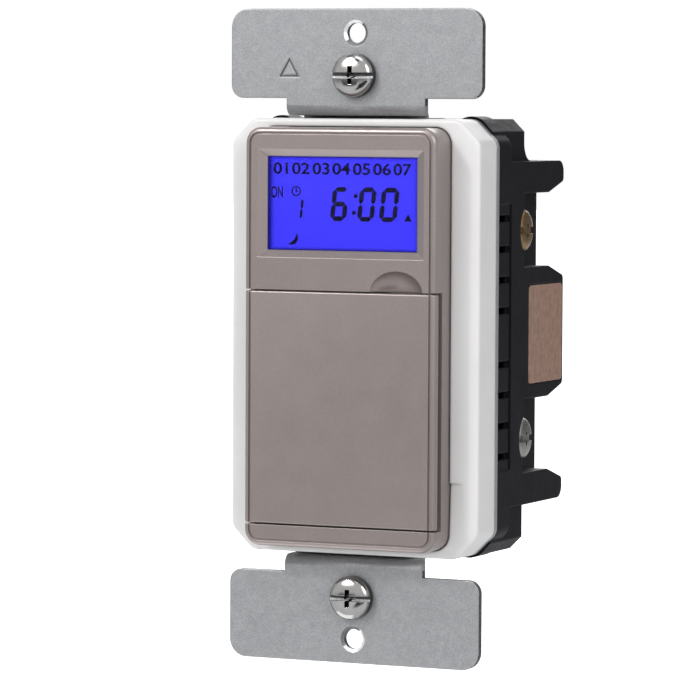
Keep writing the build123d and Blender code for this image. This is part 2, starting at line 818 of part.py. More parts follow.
# Header that joins the two boards through the strap's window
with BuildPart() as board_header:
    with BuildSketch(front_view(board_back + header_block)):
        with Locations((0, header_rise)):
            Rectangle(header_width, header_depth)
    extrude(amount=header_block)
    with BuildSketch(front_view(power_board_front)):
        with Locations((0, header_rise)):
            with GridLocations(header_pin_pitch, 0, header_pin_count, 1):
                Rectangle(header_pin_size, header_pin_size)
    extrude(amount=power_board_front - board_back - header_block)
board_header.part.label = "board_header"
export_step(board_header.part, "parts/board_header.step")

# Insulating sheet between the strap and the power board
ground_leg_middle = core_side + terminal_thickness / 2
leg_slot = (terminal_thickness + 2 * sheet_margin, terminal_leg_width + 2 * sheet_margin)
with BuildPart() as insulating_sheet:
    with BuildSketch(front_view(plate_back + sheet_thickness)):
        Rectangle(sheet_width, sheet_height)
        with Locations((0, header_rise)):
            Rectangle(header_width + 2 * sheet_margin, header_depth + 2 * sheet_margin, mode=Mode.SUBTRACT)
        with Locations((-ground_leg_middle, -terminal_height)):
            Rectangle(*leg_slot, mode=Mode.SUBTRACT)
    extrude(amount=sheet_thickness)
insulating_sheet.part.label = "insulating_sheet"
export_step(insulating_sheet.part, "parts/insulating_sheet.step")

# Power board, slotted for the ground leg
with BuildPart() as power_board:
    with BuildSketch(front_view(power_board_back)):
        RectangleRounded(power_board_width, power_board_height, board_corner)
        with Locations((-ground_leg_middle, -terminal_height)):
            Rectangle(*leg_slot, mode=Mode.SUBTRACT)
    extrude(amount=board_thickness)
power_board.part.label = "power_board"
export_step(power_board.part, "parts/power_board.step")

# Relay: cover, coil on its base, and the armature that closes the contact
coil_middle = power_board_back + relay_base + bobbin_size / 2
bobbin_back = coil_middle + bobbin_size / 2
relay_back = power_board_back + relay_height
armature_front = bobbin_back + armature_gap
armature_back = armature_front + armature_thickness
yoke_bottom = relay_rise - coil_length / 2 - bobbin_flange - yoke_thickness
with BuildPart() as relay_cover:
    with BuildSketch(front_view(relay_back)):
        with Locations((0, relay_rise)):
            RectangleRounded(relay_width, relay_length, relay_wall)
    extrude(amount=relay_height)
    with BuildSketch(front_view(relay_back - relay_wall)):
        with Locations((0, relay_rise)):
            Rectangle(relay_width - 2 * relay_wall, relay_length - 2 * relay_wall)
    extrude(amount=relay_height - relay_wall, mode=Mode.SUBTRACT)
relay_cover.part.label = "relay_cover"
export_step(relay_cover.part, "parts/relay_cover.step")

with BuildPart() as relay_coil:
    with BuildSketch(front_view(power_board_back + relay_base)):
        with Locations((0, relay_rise)):
            Rectangle(
                relay_width - 2 * relay_wall - 2 * fit_clearance,
                relay_length - 2 * relay_wall - 2 * fit_clearance,
            )
    extrude(amount=relay_base)
    with BuildSketch(Plane.XY.offset(relay_rise - coil_length / 2)):
        with Locations((0, coil_middle)):
            Circle(coil_radius)
    extrude(amount=coil_length)
    for flange_bottom in (relay_rise - coil_length / 2 - bobbin_flange, relay_rise + coil_length / 2):
        with BuildSketch(Plane.XY.offset(flange_bottom)):
            with Locations((0, coil_middle)):
                Rectangle(bobbin_size, bobbin_size)
        extrude(amount=bobbin_flange)
    with BuildSketch(Plane.XY.offset(yoke_bottom)):
        with Locations((0, (power_board_back + bobbin_back) / 2)):
            Rectangle(yoke_width, bobbin_back - power_board_back)
    extrude(amount=yoke_thickness)
relay_coil.part.label = "relay_coil"
export_step(relay_coil.part, "parts/relay_coil.step")

with BuildPart() as relay_armature:
    armature_length = coil_length + 2 * bobbin_flange + yoke_thickness
    with BuildSketch(front_view(armature_back)):
        with Locations((0, yoke_bottom + armature_length / 2)):
            Rectangle(yoke_width, armature_length)
    extrude(amount=armature_thickness)
    with BuildSketch(Plane.YZ.offset(-yoke_width / 2)):
        with Locations((armature_front, yoke_bottom + armature_pivot_radius)):
            Circle(armature_pivot_radius)
    extrude(amount=yoke_width)
relay_armature.part.label = "relay_armature"
export_step(relay_armature.part, "parts/relay_armature.step")

# Film capacitor across the supply
with BuildPart() as film_capacitor:
    with BuildSketch(front_view(power_board_back + film_capacitor_height)):
        with Locations((film_capacitor_offset, -film_capacitor_drop)):
            RectangleRounded(film_capacitor_width, film_capacitor_length, board_corner)
    extrude(amount=film_capacitor_height)
film_capacitor.part.label = "film_capacitor"
export_step(film_capacitor.part, "parts/film_capacitor.step")

# Electrolytic capacitor of the low-voltage supply
with BuildPart() as electrolytic_capacitor:
    with BuildSketch(front_view(power_board_back + electrolytic_height)):
        with Locations((electrolytic_offset, -electrolytic_drop)):
            Circle(electrolytic_radius)
    extrude(amount=electrolytic_height)
electrolytic_capacitor.part.label = "electrolytic_capacitor"
export_step(electrolytic_capacitor.part, "parts/electrolytic_capacitor.step")

# Varistor: a disc on two leads
with BuildPart() as varistor:
    varistor_middle = power_board_back + varistor_lead + varistor_radius
    with BuildSketch(Plane.XY.offset(-varistor_drop - varistor_thickness / 2)):
        with Locations((varistor_offset, varistor_middle)):
            Circle(varistor_radius)
    extrude(amount=varistor_thickness)
    with BuildSketch(front_view(varistor_middle)):
        with Locations((varistor_offset, -varistor_drop)):
            with GridLocations(varistor_radius, 0, 2, 1):
                Circle(varistor_lead_radius)
    extrude(amount=varistor_middle - power_board_back)
varistor.part.label = "varistor"
export_step(varistor.part, "parts/varistor.step")

# Resistors: a row of small bodies lying on the board
with BuildPart() as resistors:
    resistor_middle = power_board_back + resistor_radius
    with BuildSketch(Plane.XY.offset(resistor_rise - resistor_length / 2)):
        with Locations((resistor_offset, resistor_middle)):
            with GridLocations(resistor_pitch, 0, resistor_count, 1):
                Circle(resistor_radius)
    extrude(amount=resistor_length)
resistors.part.label = "resistors"
export_step(resistors.part, "parts/resistors.step")

# Rear housing: flange, shelf, end blocks and a deep core with lugs round the terminals
with BuildPart() as rear_housing:
    with BuildSketch(front_view(flange_back)):
        add(body_outline())
        boss_height = body_height / 2 + locating_boss_rise - locating_boss_radius
        with GridLocations(2 * locating_boss_offset, 2 * boss_height, 2, 2):
            Circle(locating_boss_radius)
    extrude(amount=flange_depth)
    with BuildSketch(front_view(end_block_back)) as end_outline:
        Rectangle(end_block_width, body_height)
        chamfer(end_outline.vertices(), length=end_block_cut)
        with Locations((0, rear_body_rise)):
            Rectangle(body_width, hollow_height, mode=Mode.SUBTRACT)
    extrude(amount=end_block_depth)
    with BuildSketch(front_view(shelf_back)):
        with Locations((0, rear_body_rise)):
            Rectangle(body_width, 2 * core_half_height)
    extrude(amount=shelf_depth)
    with BuildSketch(front_view(housing_back)):
        with Locations((0, rear_body_rise)):
            Rectangle(core_width, 2 * core_half_height)
    extrude(amount=housing_depth)
    # Lugs at both ends of each side and the block between them, as one profile across the body
    with BuildSketch(Plane.YZ.offset(-body_side)) as lug_profile:
        for end in (1, -1):
            with BuildLine() as lug_line:
                Polyline(
                    (shelf_back - housing_wall, rear_body_rise + end * core_half_height),
                    (housing_back, rear_body_rise + end * core_half_height),
                    (housing_back, rear_body_rise + end * lug_tip_inner),
                    (housing_back - lug_slope_start, rear_body_rise + end * lug_inner),
                    (shelf_back - housing_wall, rear_body_rise + end * lug_inner),
                    close=True,
                )
            make_face()
        with BuildLine():
            Polyline(
                (shelf_back - housing_wall, rear_body_rise + block_half_height),
                (housing_back - lug_slope_start, rear_body_rise + block_half_height),
                (housing_back, rear_body_rise + block_half_height - block_slope),
                (housing_back, rear_body_rise - block_half_height + block_slope),
                (housing_back - lug_slope_start, rear_body_rise - block_half_height),
                (shelf_back - housing_wall, rear_body_rise - block_half_height),
                close=True,
            )
        make_face()
        tips = lug_profile.vertices().group_by(Axis.X)[-1].sort_by(Axis.Y)
        fillet([tips[0], tips[-1]], radius=lug_tip_radius)
        tips = lug_profile.vertices().group_by(Axis.X)[-1].sort_by(Axis.Y)
        fillet(tips[1:-1], radius=block_corner_radius)
    extrude(amount=body_width)
    # Concave haunch between the upper end block and the upper lugs
    with BuildSketch(Plane.YZ.offset(-end_block_width / 2)):
        with BuildLine():
            Line((end_block_back, lug_outer + haunch_radius), (end_block_back, lug_outer))
            Line((end_block_back, lug_outer), (end_block_back + haunch_radius, lug_outer))
            RadiusArc(
                (end_block_back + haunch_radius, lug_outer),
                (end_block_back, lug_outer + haunch_radius),
                haunch_radius,
            )
        make_face()
    extrude(amount=end_block_width)
    # Hollows: the wide front one, one down to the shelf, one at each end and the deep core
    with BuildSketch(front_view(flange_back - housing_wall)):
        add(body_outline(housing_wall))
    extrude(amount=flange_depth, mode=Mode.SUBTRACT)
    with BuildSketch(front_view(shelf_back - housing_wall)):
        with Locations((0, rear_body_rise)):
            Rectangle(body_width - 2 * housing_wall, hollow_height)
    extrude(amount=shelf_depth, mode=Mode.SUBTRACT)
    with BuildSketch(front_view(end_block_back - housing_wall)):
        Rectangle(end_cavity_width, body_height - 2 * housing_wall)
    extrude(amount=end_block_depth, mode=Mode.SUBTRACT)
    with BuildSketch(front_view(housing_back - housing_wall)):
        with Locations((0, rear_body_rise)):
            Rectangle(hollow_width, hollow_height)
            Rectangle(body_width - 2 * housing_wall, 2 * block_hollow_half)
    extrude(amount=housing_depth, mode=Mode.SUBTRACT)
    # Columns and counterbores for the assembly screws
    with BuildSketch(front_view(flange_back)):
        with GridLocations(2 * assembly_screw_offset, 2 * assembly_screw_height, 2, 2):
            Circle(assembly_head_radius + assembly_head_clearance + housing_wall / 2)
        add(body_outline(housing_wall / 2), mode=Mode.INTERSECT)
    extrude(amount=flange_depth)
    with BuildSketch(front_view(end_block_back)):
        with GridLocations(2 * assembly_screw_offset, 2 * assembly_screw_height, 2, 2):
            Circle(assembly_head_radius + assembly_head_clearance)
    extrude(amount=end_block_back - flange_back, mode=Mode.SUBTRACT)
    with BuildSketch(front_view(flange_back)):
        with GridLocations(2 * assembly_screw_offset, 2 * assembly_screw_height, 2, 2):
            Circle(assembly_screw_radius + fit_clearance)
    extrude(amount=flange_depth, mode=Mode.SUBTRACT)
    # Rests for the power board
    with BuildSketch(front_view(shelf_back - housing_wall)):
        with GridLocations(2 * board_rest_offset, 2 * board_rest_height, 2, 2):
            Circle(board_rest_radius)
    extrude(amount=shelf_back - housing_wall - power_board_back)
    # Each side: vent panel, groove and slots, and the terminals' scallops, bores and leg slots
    for side in (1, -1):
        outward = Plane.YZ.offset(side * body_side)
        with BuildSketch(outward):
            with Locations((plate_back + flange_depth / 2, 0)):
                Rectangle(flange_depth, vent_panel_height)
        extrude(amount=-side * vent_panel_depth, mode=Mode.SUBTRACT)
        with BuildSketch(outward):
            with Locations((flange_back, 0)):
                Rectangle(vent_groove_width, vent_panel_height)
        extrude(amount=-side * vent_groove_depth, mode=Mode.SUBTRACT)
        vent_heights = [vent_first + vent_pitch * step for step in range(vent_count)]
        vent_places = [(flange_back - vent_slot_length / 2, end * z) for z in vent_heights for end in (1, -1)]
        with BuildSketch(outward):
            with Locations(*vent_places):
                Rectangle(vent_slot_length, vent_slot_height)
        extrude(amount=-side * (housing_wall + cut_overrun), mode=Mode.SUBTRACT)
        terminal_places = [(terminal_axis, terminal_height), (terminal_axis, -terminal_height)]
        with BuildSketch(outward):
            with Locations(*terminal_places):
                Circle(terminal_head_radius + scallop_clearance)
        extrude(amount=-side * (body_side - core_side), mode=Mode.SUBTRACT)
        with BuildSketch(outward):
            with Locations(*terminal_places):
                Circle(terminal_shank_radius + terminal_bore_clearance)
        extrude(amount=-side * (body_side - core_side + housing_wall + cut_overrun), mode=Mode.SUBTRACT)
        leg_middle = side * (core_side + terminal_thickness / 2)
        with BuildSketch(front_view(shelf_back)):
            with Locations((leg_middle, terminal_height), (leg_middle, -terminal_height)):
                Rectangle(terminal_thickness + 2 * fit_clearance, terminal_leg_width + 2 * fit_clearance)
        extrude(amount=housing_wall, mode=Mode.SUBTRACT)
    # Shallow seat for the blank label
    label_middle = housing_back - label_rear_gap - label_width / 2
    with BuildSketch(Plane.YZ.offset(body_side)):
        with Locations((label_middle, 0)):
            Rectangle(label_width + 2 * fit_clearance, label_height + 2 * fit_clearance)
    extrude(amount=-label_pocket, mode=Mode.SUBTRACT)
rear_housing.part.label = "rear_housing"
export_step(rear_housing.part, "parts/rear_housing.step")

# Blank label on the side of the housing
with BuildPart() as blank_label:
    with BuildSketch(Plane.YZ.offset(body_side - label_pocket)):
        with Locations((label_middle, 0)):
            RectangleRounded(label_width, label_height, board_corner)
    extrude(amount=label_thickness)
blank_label.part.label = "blank_label"
export_step(blank_label.part, "parts/blank_label.step")

# Assembly screws: four alike, one at each corner
with BuildPart() as assembly_screws:
    shank_front = frame_face_back + frame_post_tip + seat_gap
    with BuildSketch(front_view(flange_back + assembly_head_height)):
        with GridLocations(2 * assembly_screw_offset, 2 * assembly_screw_height, 2, 2):
            Circle(assembly_head_radius)
    extrude(amount=assembly_head_height)
    with BuildSketch(front_view(flange_back)):
        with GridLocations(2 * assembly_screw_offset, 2 * assembly_screw_height, 2, 2):
            Circle(assembly_screw_radius)
    extrude(amount=flange_back - shank_front)
    with BuildSketch(front_view(flange_back + assembly_head_height)):
        with GridLocations(2 * assembly_screw_offset, 2 * assembly_screw_height, 2, 2):
            Rectangle(2 * assembly_head_radius, assembly_slot_width)
            Rectangle(assembly_slot_width, 2 * assembly_head_radius)
    extrude(amount=assembly_slot_depth, mode=Mode.SUBTRACT)
assembly_screws.part.label = "assembly_screws"
export_step(assembly_screws.part, "parts/assembly_screws.step")

# Terminals: name, side, height and the depth that the leg reaches forward to
terminal_list = [
    ("line", 1, terminal_height, power_board_back),
    ("neutral", 1, -terminal_height, power_board_back),
    ("load", -1, terminal_height, power_board_back),
    ("ground", -1, -terminal_height, plate_back),
]
clamp_inner = core_side + terminal_thickness + clamp_gap
head_seat = clamp_inner + clamp_thickness
for name, side, height, leg_front in terminal_list:
    # Terminal plate: flat on the core's side, with a leg forward through the shelf
    with BuildPart() as terminal:
        plate_start = shelf_back + slide_clearance
        plate_end = terminal_axis + terminal_rear_reach
        leg_end = terminal_axis + terminal_front_reach
        with BuildSketch(Plane.YZ.offset(side * core_side)):
            with Locations(((plate_start + plate_end) / 2, height)):
                Rectangle(plate_end - plate_start, 2 * terminal_plate_half)
            with Locations(((leg_front + leg_end) / 2, height)):
                Rectangle(leg_end - leg_front, terminal_leg_width)
            with Locations((terminal_axis, height)):
                Circle(terminal_shank_radius + pin_clearance, mode=Mode.SUBTRACT)
        extrude(amount=side * terminal_thickness)
    terminal.part.label = f"{name}_terminal"
    export_step(terminal.part, f"parts/{name}_terminal.step")

    # Clamp plate: the square washer that presses the wire
    with BuildPart() as clamp:
        clamp_end = terminal_axis + clamp_half
        with BuildSketch(Plane.YZ.offset(side * clamp_inner)):
            with Locations(((plate_start + clamp_end) / 2, height)):
                Rectangle(clamp_end - plate_start, 2 * clamp_half)
            with Locations((terminal_axis, height)):
                Circle(terminal_shank_radius + pin_clearance, mode=Mode.SUBTRACT)
        extrude(amount=side * clamp_thickness)
    clamp.part.label = f"{name}_clamp"
    export_step(clamp.part, f"parts/{name}_clamp.step")

    # Terminal screw, slot level
    seat = Plane(origin=(side * head_seat, terminal_axis, height), x_dir=(0, 1, 0), z_dir=(side, 0, 0))
    terminal_screw = combination_screw(
        seat,
        (terminal_head_radius, terminal_head_height, terminal_head_round),
        (terminal_shank_radius, terminal_shank_length),
        (terminal_slot_width, terminal_slot_depth, terminal_cross_length),
    )
    terminal_screw.label = f"{name}_screw"
    export_step(terminal_screw, f"parts/{name}_screw.step")

# Captive screws through the strap's ears, each with the square washer that its thread can't pass
box_neck_length = washer_setback + washer_thickness + seat_gap - ear_front
for name, height in (("top", box_screw_spacing / 2), ("bottom", -box_screw_spacing / 2)):
    seat = Plane(origin=(0, ear_front, height), x_dir=(1, 0, 0), z_dir=(0, -1, 0))
    head_and_neck = combination_screw(
        seat,
        (box_head_radius, box_head_height, box_head_round),
        (box_neck_radius, box_neck_length),
        (box_slot_cut_width, box_slot_cut_depth, box_cross_length),
    )
    with BuildPart() as box_screw:
        add(head_and_neck)
        with BuildSketch(seat.offset(-box_neck_length)):
            Circle(box_shank_radius)
        extrude(amount=box_neck_length - box_shank_length)
    box_screw.part.label = f"{name}_box_screw"
    export_step(box_screw.part, f"parts/{name}_box_screw.step")
    with BuildPart() as washer:
        with BuildSketch(front_view(washer_setback + washer_thickness)):
            with Locations((0, height)):
                RectangleRounded(washer_size, washer_size, washer_corner)
                Circle(box_neck_radius + pin_clearance, mode=Mode.SUBTRACT)
        extrude(amount=washer_thickness)
    washer.part.label = f"{name}_screw_washer"
    export_step(washer.part, f"parts/{name}_screw_washer.step")
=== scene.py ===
import math

import bpy
from mathutils import Matrix, Vector


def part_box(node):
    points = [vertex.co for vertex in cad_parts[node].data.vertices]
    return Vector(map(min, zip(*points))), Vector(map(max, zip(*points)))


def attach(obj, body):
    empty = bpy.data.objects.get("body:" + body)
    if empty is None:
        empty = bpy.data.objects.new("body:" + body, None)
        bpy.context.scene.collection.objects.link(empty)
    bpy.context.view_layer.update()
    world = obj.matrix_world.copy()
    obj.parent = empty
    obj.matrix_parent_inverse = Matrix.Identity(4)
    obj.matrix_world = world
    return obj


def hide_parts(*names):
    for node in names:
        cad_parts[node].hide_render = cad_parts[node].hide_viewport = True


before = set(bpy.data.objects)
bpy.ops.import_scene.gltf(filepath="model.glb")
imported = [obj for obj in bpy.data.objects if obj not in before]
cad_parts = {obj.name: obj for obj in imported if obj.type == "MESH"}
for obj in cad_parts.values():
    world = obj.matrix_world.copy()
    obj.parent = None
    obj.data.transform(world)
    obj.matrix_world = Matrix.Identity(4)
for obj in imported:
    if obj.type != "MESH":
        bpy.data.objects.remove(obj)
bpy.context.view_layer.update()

# Camera: on the switch's right, a little above its middle, with a long lens, 0.7 m away.
camera_data = bpy.data.cameras.new("camera")
camera_data.sensor_width = 36.0
camera_data.lens = 234.01
camera = bpy.data.objects.new("camera", camera_data)
camera.matrix_world = Matrix((
    (0.9073157, -0.02795899, 0.41951939, 0.293110),
    (0.4204217, 0.04874748, -0.90601837, -0.639785),
    (0.00488085, 0.99841974, 0.05598392, 0.039022),
    (0.0, 0.0, 0.0, 1.0),
))
bpy.context.scene.collection.objects.link(camera)
bpy.context.scene.camera = camera
bpy.context.scene.view_settings.view_transform = "Standard"

# Studio: soft boxes at the left, right, above and behind and a small spot for glints, in a
# white room over a plain pale floor. The cards show only as reflections, in paint and metal,
# and face the switch, but for the ones below, which lie flat on the floor.
world = bpy.data.worlds.new("white room")
bpy.context.scene.world = world
world.use_nodes = True
room = world.node_tree
room_light = room.nodes["Background"]
room_light.inputs["Color"].default_value = (0.93, 0.96, 1.0, 1.0)
room_light.inputs["Strength"].default_value = 0.5
room_white = room.nodes.new("ShaderNodeBackground")
room_white.inputs["Color"].default_value = (1.0, 1.0, 1.0, 1.0)
room_white.inputs["Strength"].default_value = 1.0
room_ray = room.nodes.new("ShaderNodeLightPath")
room_mirror = room.nodes.new("ShaderNodeMath")
room_mirror.operation = "MAXIMUM"
room_seen = room.nodes.new("ShaderNodeMath")
room_seen.operation = "MAXIMUM"
room_mix = room.nodes.new("ShaderNodeMixShader")
room.links.new(room_ray.outputs["Is Glossy Ray"], room_mirror.inputs[0])
room.links.new(room_ray.outputs["Is Transmission Ray"], room_mirror.inputs[1])
room.links.new(room_ray.outputs["Is Camera Ray"], room_seen.inputs[0])
room.links.new(room_mirror.outputs[0], room_seen.inputs[1])
room.links.new(room_seen.outputs[0], room_mix.inputs["Fac"])
room.links.new(room_light.outputs[0], room_mix.inputs[1])
room.links.new(room_white.outputs[0], room_mix.inputs[2])
room.links.new(room_mix.outputs[0], room.nodes["World Output"].inputs["Surface"])
for lamp_name, lamp_place, lamp_size, lamp_power in (
    ("soft box left", (-0.42, -0.8, 0.5), 0.6, 2.7),
    ("glint spot", (-0.39, -0.63, 0.58), 0.1, 2.4),
    ("soft box right", (0.521, -0.437, 0.317), 0.45, 2.1),
    ("soft box above", (0.05, -0.338, 0.725), 0.4, 1.0),
    ("soft box behind", (-0.3, 1.0, 0.5), 0.8, 3.0),
):
    lamp_data = bpy.data.lights.new(lamp_name, "AREA")
    lamp_data.shape = "DISK"
    lamp_data.size = lamp_size
    lamp_data.energy = lamp_power
    lamp = bpy.data.objects.new(lamp_name, lamp_data)
    lamp.location = lamp_place
    lamp.rotation_euler = (-Vector(lamp_place)).to_track_quat("-Z", "Y").to_euler()
    bpy.context.scene.collection.objects.link(lamp)

for card_name, card_place, card_size, card_grey in (
    ("card left", (-1.2, 0.0, 0.1), 1.1, 0.7),
    ("card behind", (0.5, 1.09, 0.1), 1.0, 0.2),
    ("card above", (-0.065, -0.457, 0.4), 0.12, 0.03),
    ("card below", (0.14, -0.52, -0.149), 0.45, 0.03),
    ("card in front", (-0.3, -0.64, -0.2), 0.34, 0.12),
    ("pale card below", (-0.085, -0.028, -0.149), 0.13, 2.3),
    ("card overhead", (-0.19, -0.1, 0.42), 0.18, 0.35),
):
    bpy.ops.mesh.primitive_plane_add(size=card_size, location=card_place)
    card = bpy.context.object
    card.name = card_name
    if not card_name.endswith("below"):
        card.rotation_euler = (-Vector(card_place)).to_track_quat("Z", "Y").to_euler()
    card_paper = bpy.data.materials.new(card_name)
    card_paper.use_nodes = True
    card_shader = card_paper.node_tree.nodes["Principled BSDF"]
    card_shader.inputs["Base Color"].default_value = (0.01, 0.01, 0.01, 1.0)
    card_shader.inputs["Specular IOR Level"].default_value = 0.0
    card_shader.inputs["Emission Color"].default_value = (1.0, 1.0, 1.0, 1.0)
    card_shader.inputs["Emission Strength"].default_value = card_grey
    card.data.materials.append(card_paper)
    card.visible_camera = card.visible_diffuse = card.visible_shadow = card.visible_transmission = False

floor_level = -0.15
bpy.ops.mesh.primitive_plane_add(size=12.0, location=(0.0, 0.0, floor_level))
floor = bpy.context.object
floor.name = "floor"
floor_paper = bpy.data.materials.new("floor paper")
floor_paper.use_nodes = True
paper = floor_paper.node_tree
paper.nodes["Principled BSDF"].inputs["Base Color"].default_value = (0.9, 0.9, 0.9, 1.0)
paper.nodes["Principled BSDF"].inputs["Roughness"].default_value = 0.9
paper.nodes["Principled BSDF"].inputs["Specular IOR Level"].default_value = 0.0
paper_ray = paper.nodes.new("ShaderNodeLightPath")
paper_glow = paper.nodes.new("ShaderNodeEmission")
paper_sum = paper.nodes.new("ShaderNodeAddShader")
paper.links.new(paper_ray.outputs["Is Camera Ray"], paper_glow.inputs["Strength"])
paper.links.new(paper.nodes["Principled BSDF"].outputs[0], paper_sum.inputs[0])
paper.links.new(paper_glow.outputs[0], paper_sum.inputs[1])
paper.links.new(paper_sum.outputs[0], paper.nodes["Material Output"].inputs["Surface"])
floor.data.materials.append(floor_paper)


# Mounting strap: one strip of hot-dip galvanised steel, punched and bent, with rounded corners
# at its ears, two holes for the cover plate's screws and a stamped triangle on the top ear.
weld_reach = 0.000001


def merged_copy(node, name):
    """A CAD node's mesh as a new piece, with its loose triangles merged."""
    bpy.ops.object.select_all(action="DESELECT")
    piece = bpy.data.objects.new(name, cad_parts[node].data.copy())
    piece.data.name = name
    bpy.context.scene.collection.objects.link(piece)
    bpy.context.view_layer.objects.active = piece
    piece.select_set(True)
    bpy.ops.mesh.customdata_custom_splitnormals_clear()
    bpy.ops.object.mode_set(mode="EDIT")
    bpy.ops.mesh.select_all(action="SELECT")
    bpy.ops.mesh.remove_doubles(threshold=weld_reach)
    bpy.ops.object.mode_set(mode="OBJECT")
    return piece


def dress(piece, material):
    """That material in place of what the piece has."""
    piece.data.materials.clear()
    piece.data.materials.append(material)


def finish(name, colour, roughness, metallic=0.0, specular=0.5):
    """A new material, with its nodes, links and shader."""
    material = bpy.data.materials.new(name)
    material.use_nodes = True
    tree = material.node_tree
    shader = tree.nodes["Principled BSDF"]
    shader.inputs["Base Color"].default_value = (*colour, 1.0)
    shader.inputs["Roughness"].default_value = roughness
    shader.inputs["Metallic"].default_value = metallic
    shader.inputs["Specular IOR Level"].default_value = specular
    place = tree.nodes.new("ShaderNodeTexCoord")
    return material, tree, shader, place.outputs["Object"]


def speckle(tree, place, size, detail=3.0, stretch=(1.0, 1.0, 1.0)):
    """Noise whose lumps are about that size in metres."""
    noise = tree.nodes.new("ShaderNodeTexNoise")
    noise.inputs["Scale"].default_value = 1.0 / size
    noise.inputs["Detail"].default_value = detail
    if stretch != (1.0, 1.0, 1.0):
        turn = tree.nodes.new("ShaderNodeMapping")
        turn.inputs["Scale"].default_value = stretch
        tree.links.new(place, turn.inputs["Vector"])
        place = turn.outputs["Vector"]
    tree.links.new(place, noise.inputs["Vector"])
    return noise.outputs["Fac"]


def shades(tree, value, stops, into):
    """A colour ramp from that value into a socket."""
    ramp = tree.nodes.new("ShaderNodeValToRGB")
    ramp.color_ramp.elements[0].position = stops[0][0]
    ramp.color_ramp.elements[1].position = stops[-1][0]
    for stop in stops[1:-1]:
        ramp.color_ramp.elements.new(stop[0])
    for element, stop in zip(ramp.color_ramp.elements, stops):
        element.color = (*stop[1], 1.0)
    tree.links.new(value, ramp.inputs["Fac"])
    tree.links.new(ramp.outputs["Color"], into)


def mottle(tree, place, shader, size, dark, pale, ends=(0.3, 0.7), detail=3.0, stretch=(1.0, 1.0, 1.0)):
    """Two shades of the base colour, in lumps of about that size."""
    lumps = speckle(tree, place, size, detail, stretch)
    shades(tree, lumps, ((ends[0], dark), (ends[1], pale)), shader.inputs["Base Color"])


def spread(tree, value, low, high, into):
    """That value, spread from low to high, into a socket."""
    step = tree.nodes.new("ShaderNodeMapRange")
    step.inputs["From Min"].default_value = 0.3
    step.inputs["From Max"].default_value = 0.7
    step.inputs["To Min"].default_value = low
    step.inputs["To Max"].default_value = high
    tree.links.new(value, step.inputs["Value"])
    tree.links.new(step.outputs["Result"], into)


def relief(tree, value, shader, depth, strength=1.0, edge=0.0002):
    """Bump of that depth in metres, over edges rounded to that radius."""
    bump = tree.nodes.new("ShaderNodeBump")
    rounding = tree.nodes.new("ShaderNodeBevel")
    rounding.samples = 6
    rounding.inputs["Radius"].default_value = edge
    tree.links.new(rounding.outputs["Normal"], bump.inputs["Normal"])
    bump.inputs["Distance"].default_value = depth
    bump.inputs["Strength"].default_value = strength
    tree.links.new(value, bump.inputs["Height"])
    tree.links.new(bump.outputs["Normal"], shader.inputs["Normal"])


def plain_block(place, size):
    """A box of that size round that place, with both in its mesh."""
    bpy.ops.object.select_all(action="DESELECT")
    bpy.ops.mesh.primitive_cube_add(size=1.0, location=place, scale=size)
    bpy.ops.object.transform_apply(location=True, rotation=True, scale=True)
    return bpy.context.object


def cut(piece, block):
    """What the block covers is taken out of the piece."""
    cutting = piece.modifiers.new("cutting", "BOOLEAN")
    cutting.operation = "DIFFERENCE"
    cutting.object = block
    bpy.context.view_layer.objects.active = piece
    bpy.ops.object.modifier_apply(modifier="cutting")
    bpy.data.objects.remove(block)


ear_front = -0.0012
neck_start = 0.037
stamp_centre = Vector((-0.01163, ear_front, 0.04244))
stamp_radius = 0.00205
stamp_line_width = 0.0003
stamp_depth = 0.00016
wall_hole_height = 0.04842
wall_hole_reach = 0.0017
countersink_reach = 0.0022
countersink_middle = ear_front + 0.000125
countersink_depth = 0.00055
countersink_radii = (0.001433, 0.00235)
bend_relief_place = (0.0109, 0.0034, 0.0358)
bend_relief_size = (0.0031, 0.00672, 0.0017)
strap = merged_copy("mounting_strap", "strap")
# The stamp is a thin three-sided wall, sunk into the ear.
bpy.ops.object.select_all(action="DESELECT")
bpy.ops.mesh.primitive_cylinder_add(
    vertices=3, radius=stamp_radius, depth=2.0 * stamp_depth, end_fill_type="NOTHING",
    location=stamp_centre, rotation=(math.radians(90.0), 0.0, 0.0),
)
stamp = bpy.context.object
bpy.ops.object.transform_apply(location=True, rotation=True, scale=True)
stamp_line = stamp.modifiers.new("line", "SOLIDIFY")
stamp_line.thickness = stamp_line_width
stamp_line.use_even_offset = True
bpy.ops.object.modifier_apply(modifier="line")
# A relief cut frees each neck's right corner, and a countersink opens each wall hole.
strap_cuts = [stamp]
relief_across, relief_back, relief_height = bend_relief_place
for end in (-1.0, 1.0):
    strap_cuts.append(plain_block((relief_across, relief_back, end * relief_height), bend_relief_size))
for end in (-1.0, 1.0):
    bpy.ops.object.select_all(action="DESELECT")
    bpy.ops.mesh.primitive_cone_add(
        vertices=48, radius1=countersink_radii[0], radius2=countersink_radii[1], depth=countersink_depth,
        location=(0.0, countersink_middle, end * wall_hole_height), rotation=(math.radians(90.0), 0.0, 0.0),
    )
    strap_cuts.append(bpy.context.object)
    bpy.ops.object.transform_apply(location=True, rotation=True, scale=True)
for block in strap_cuts:
    cut(strap, block)

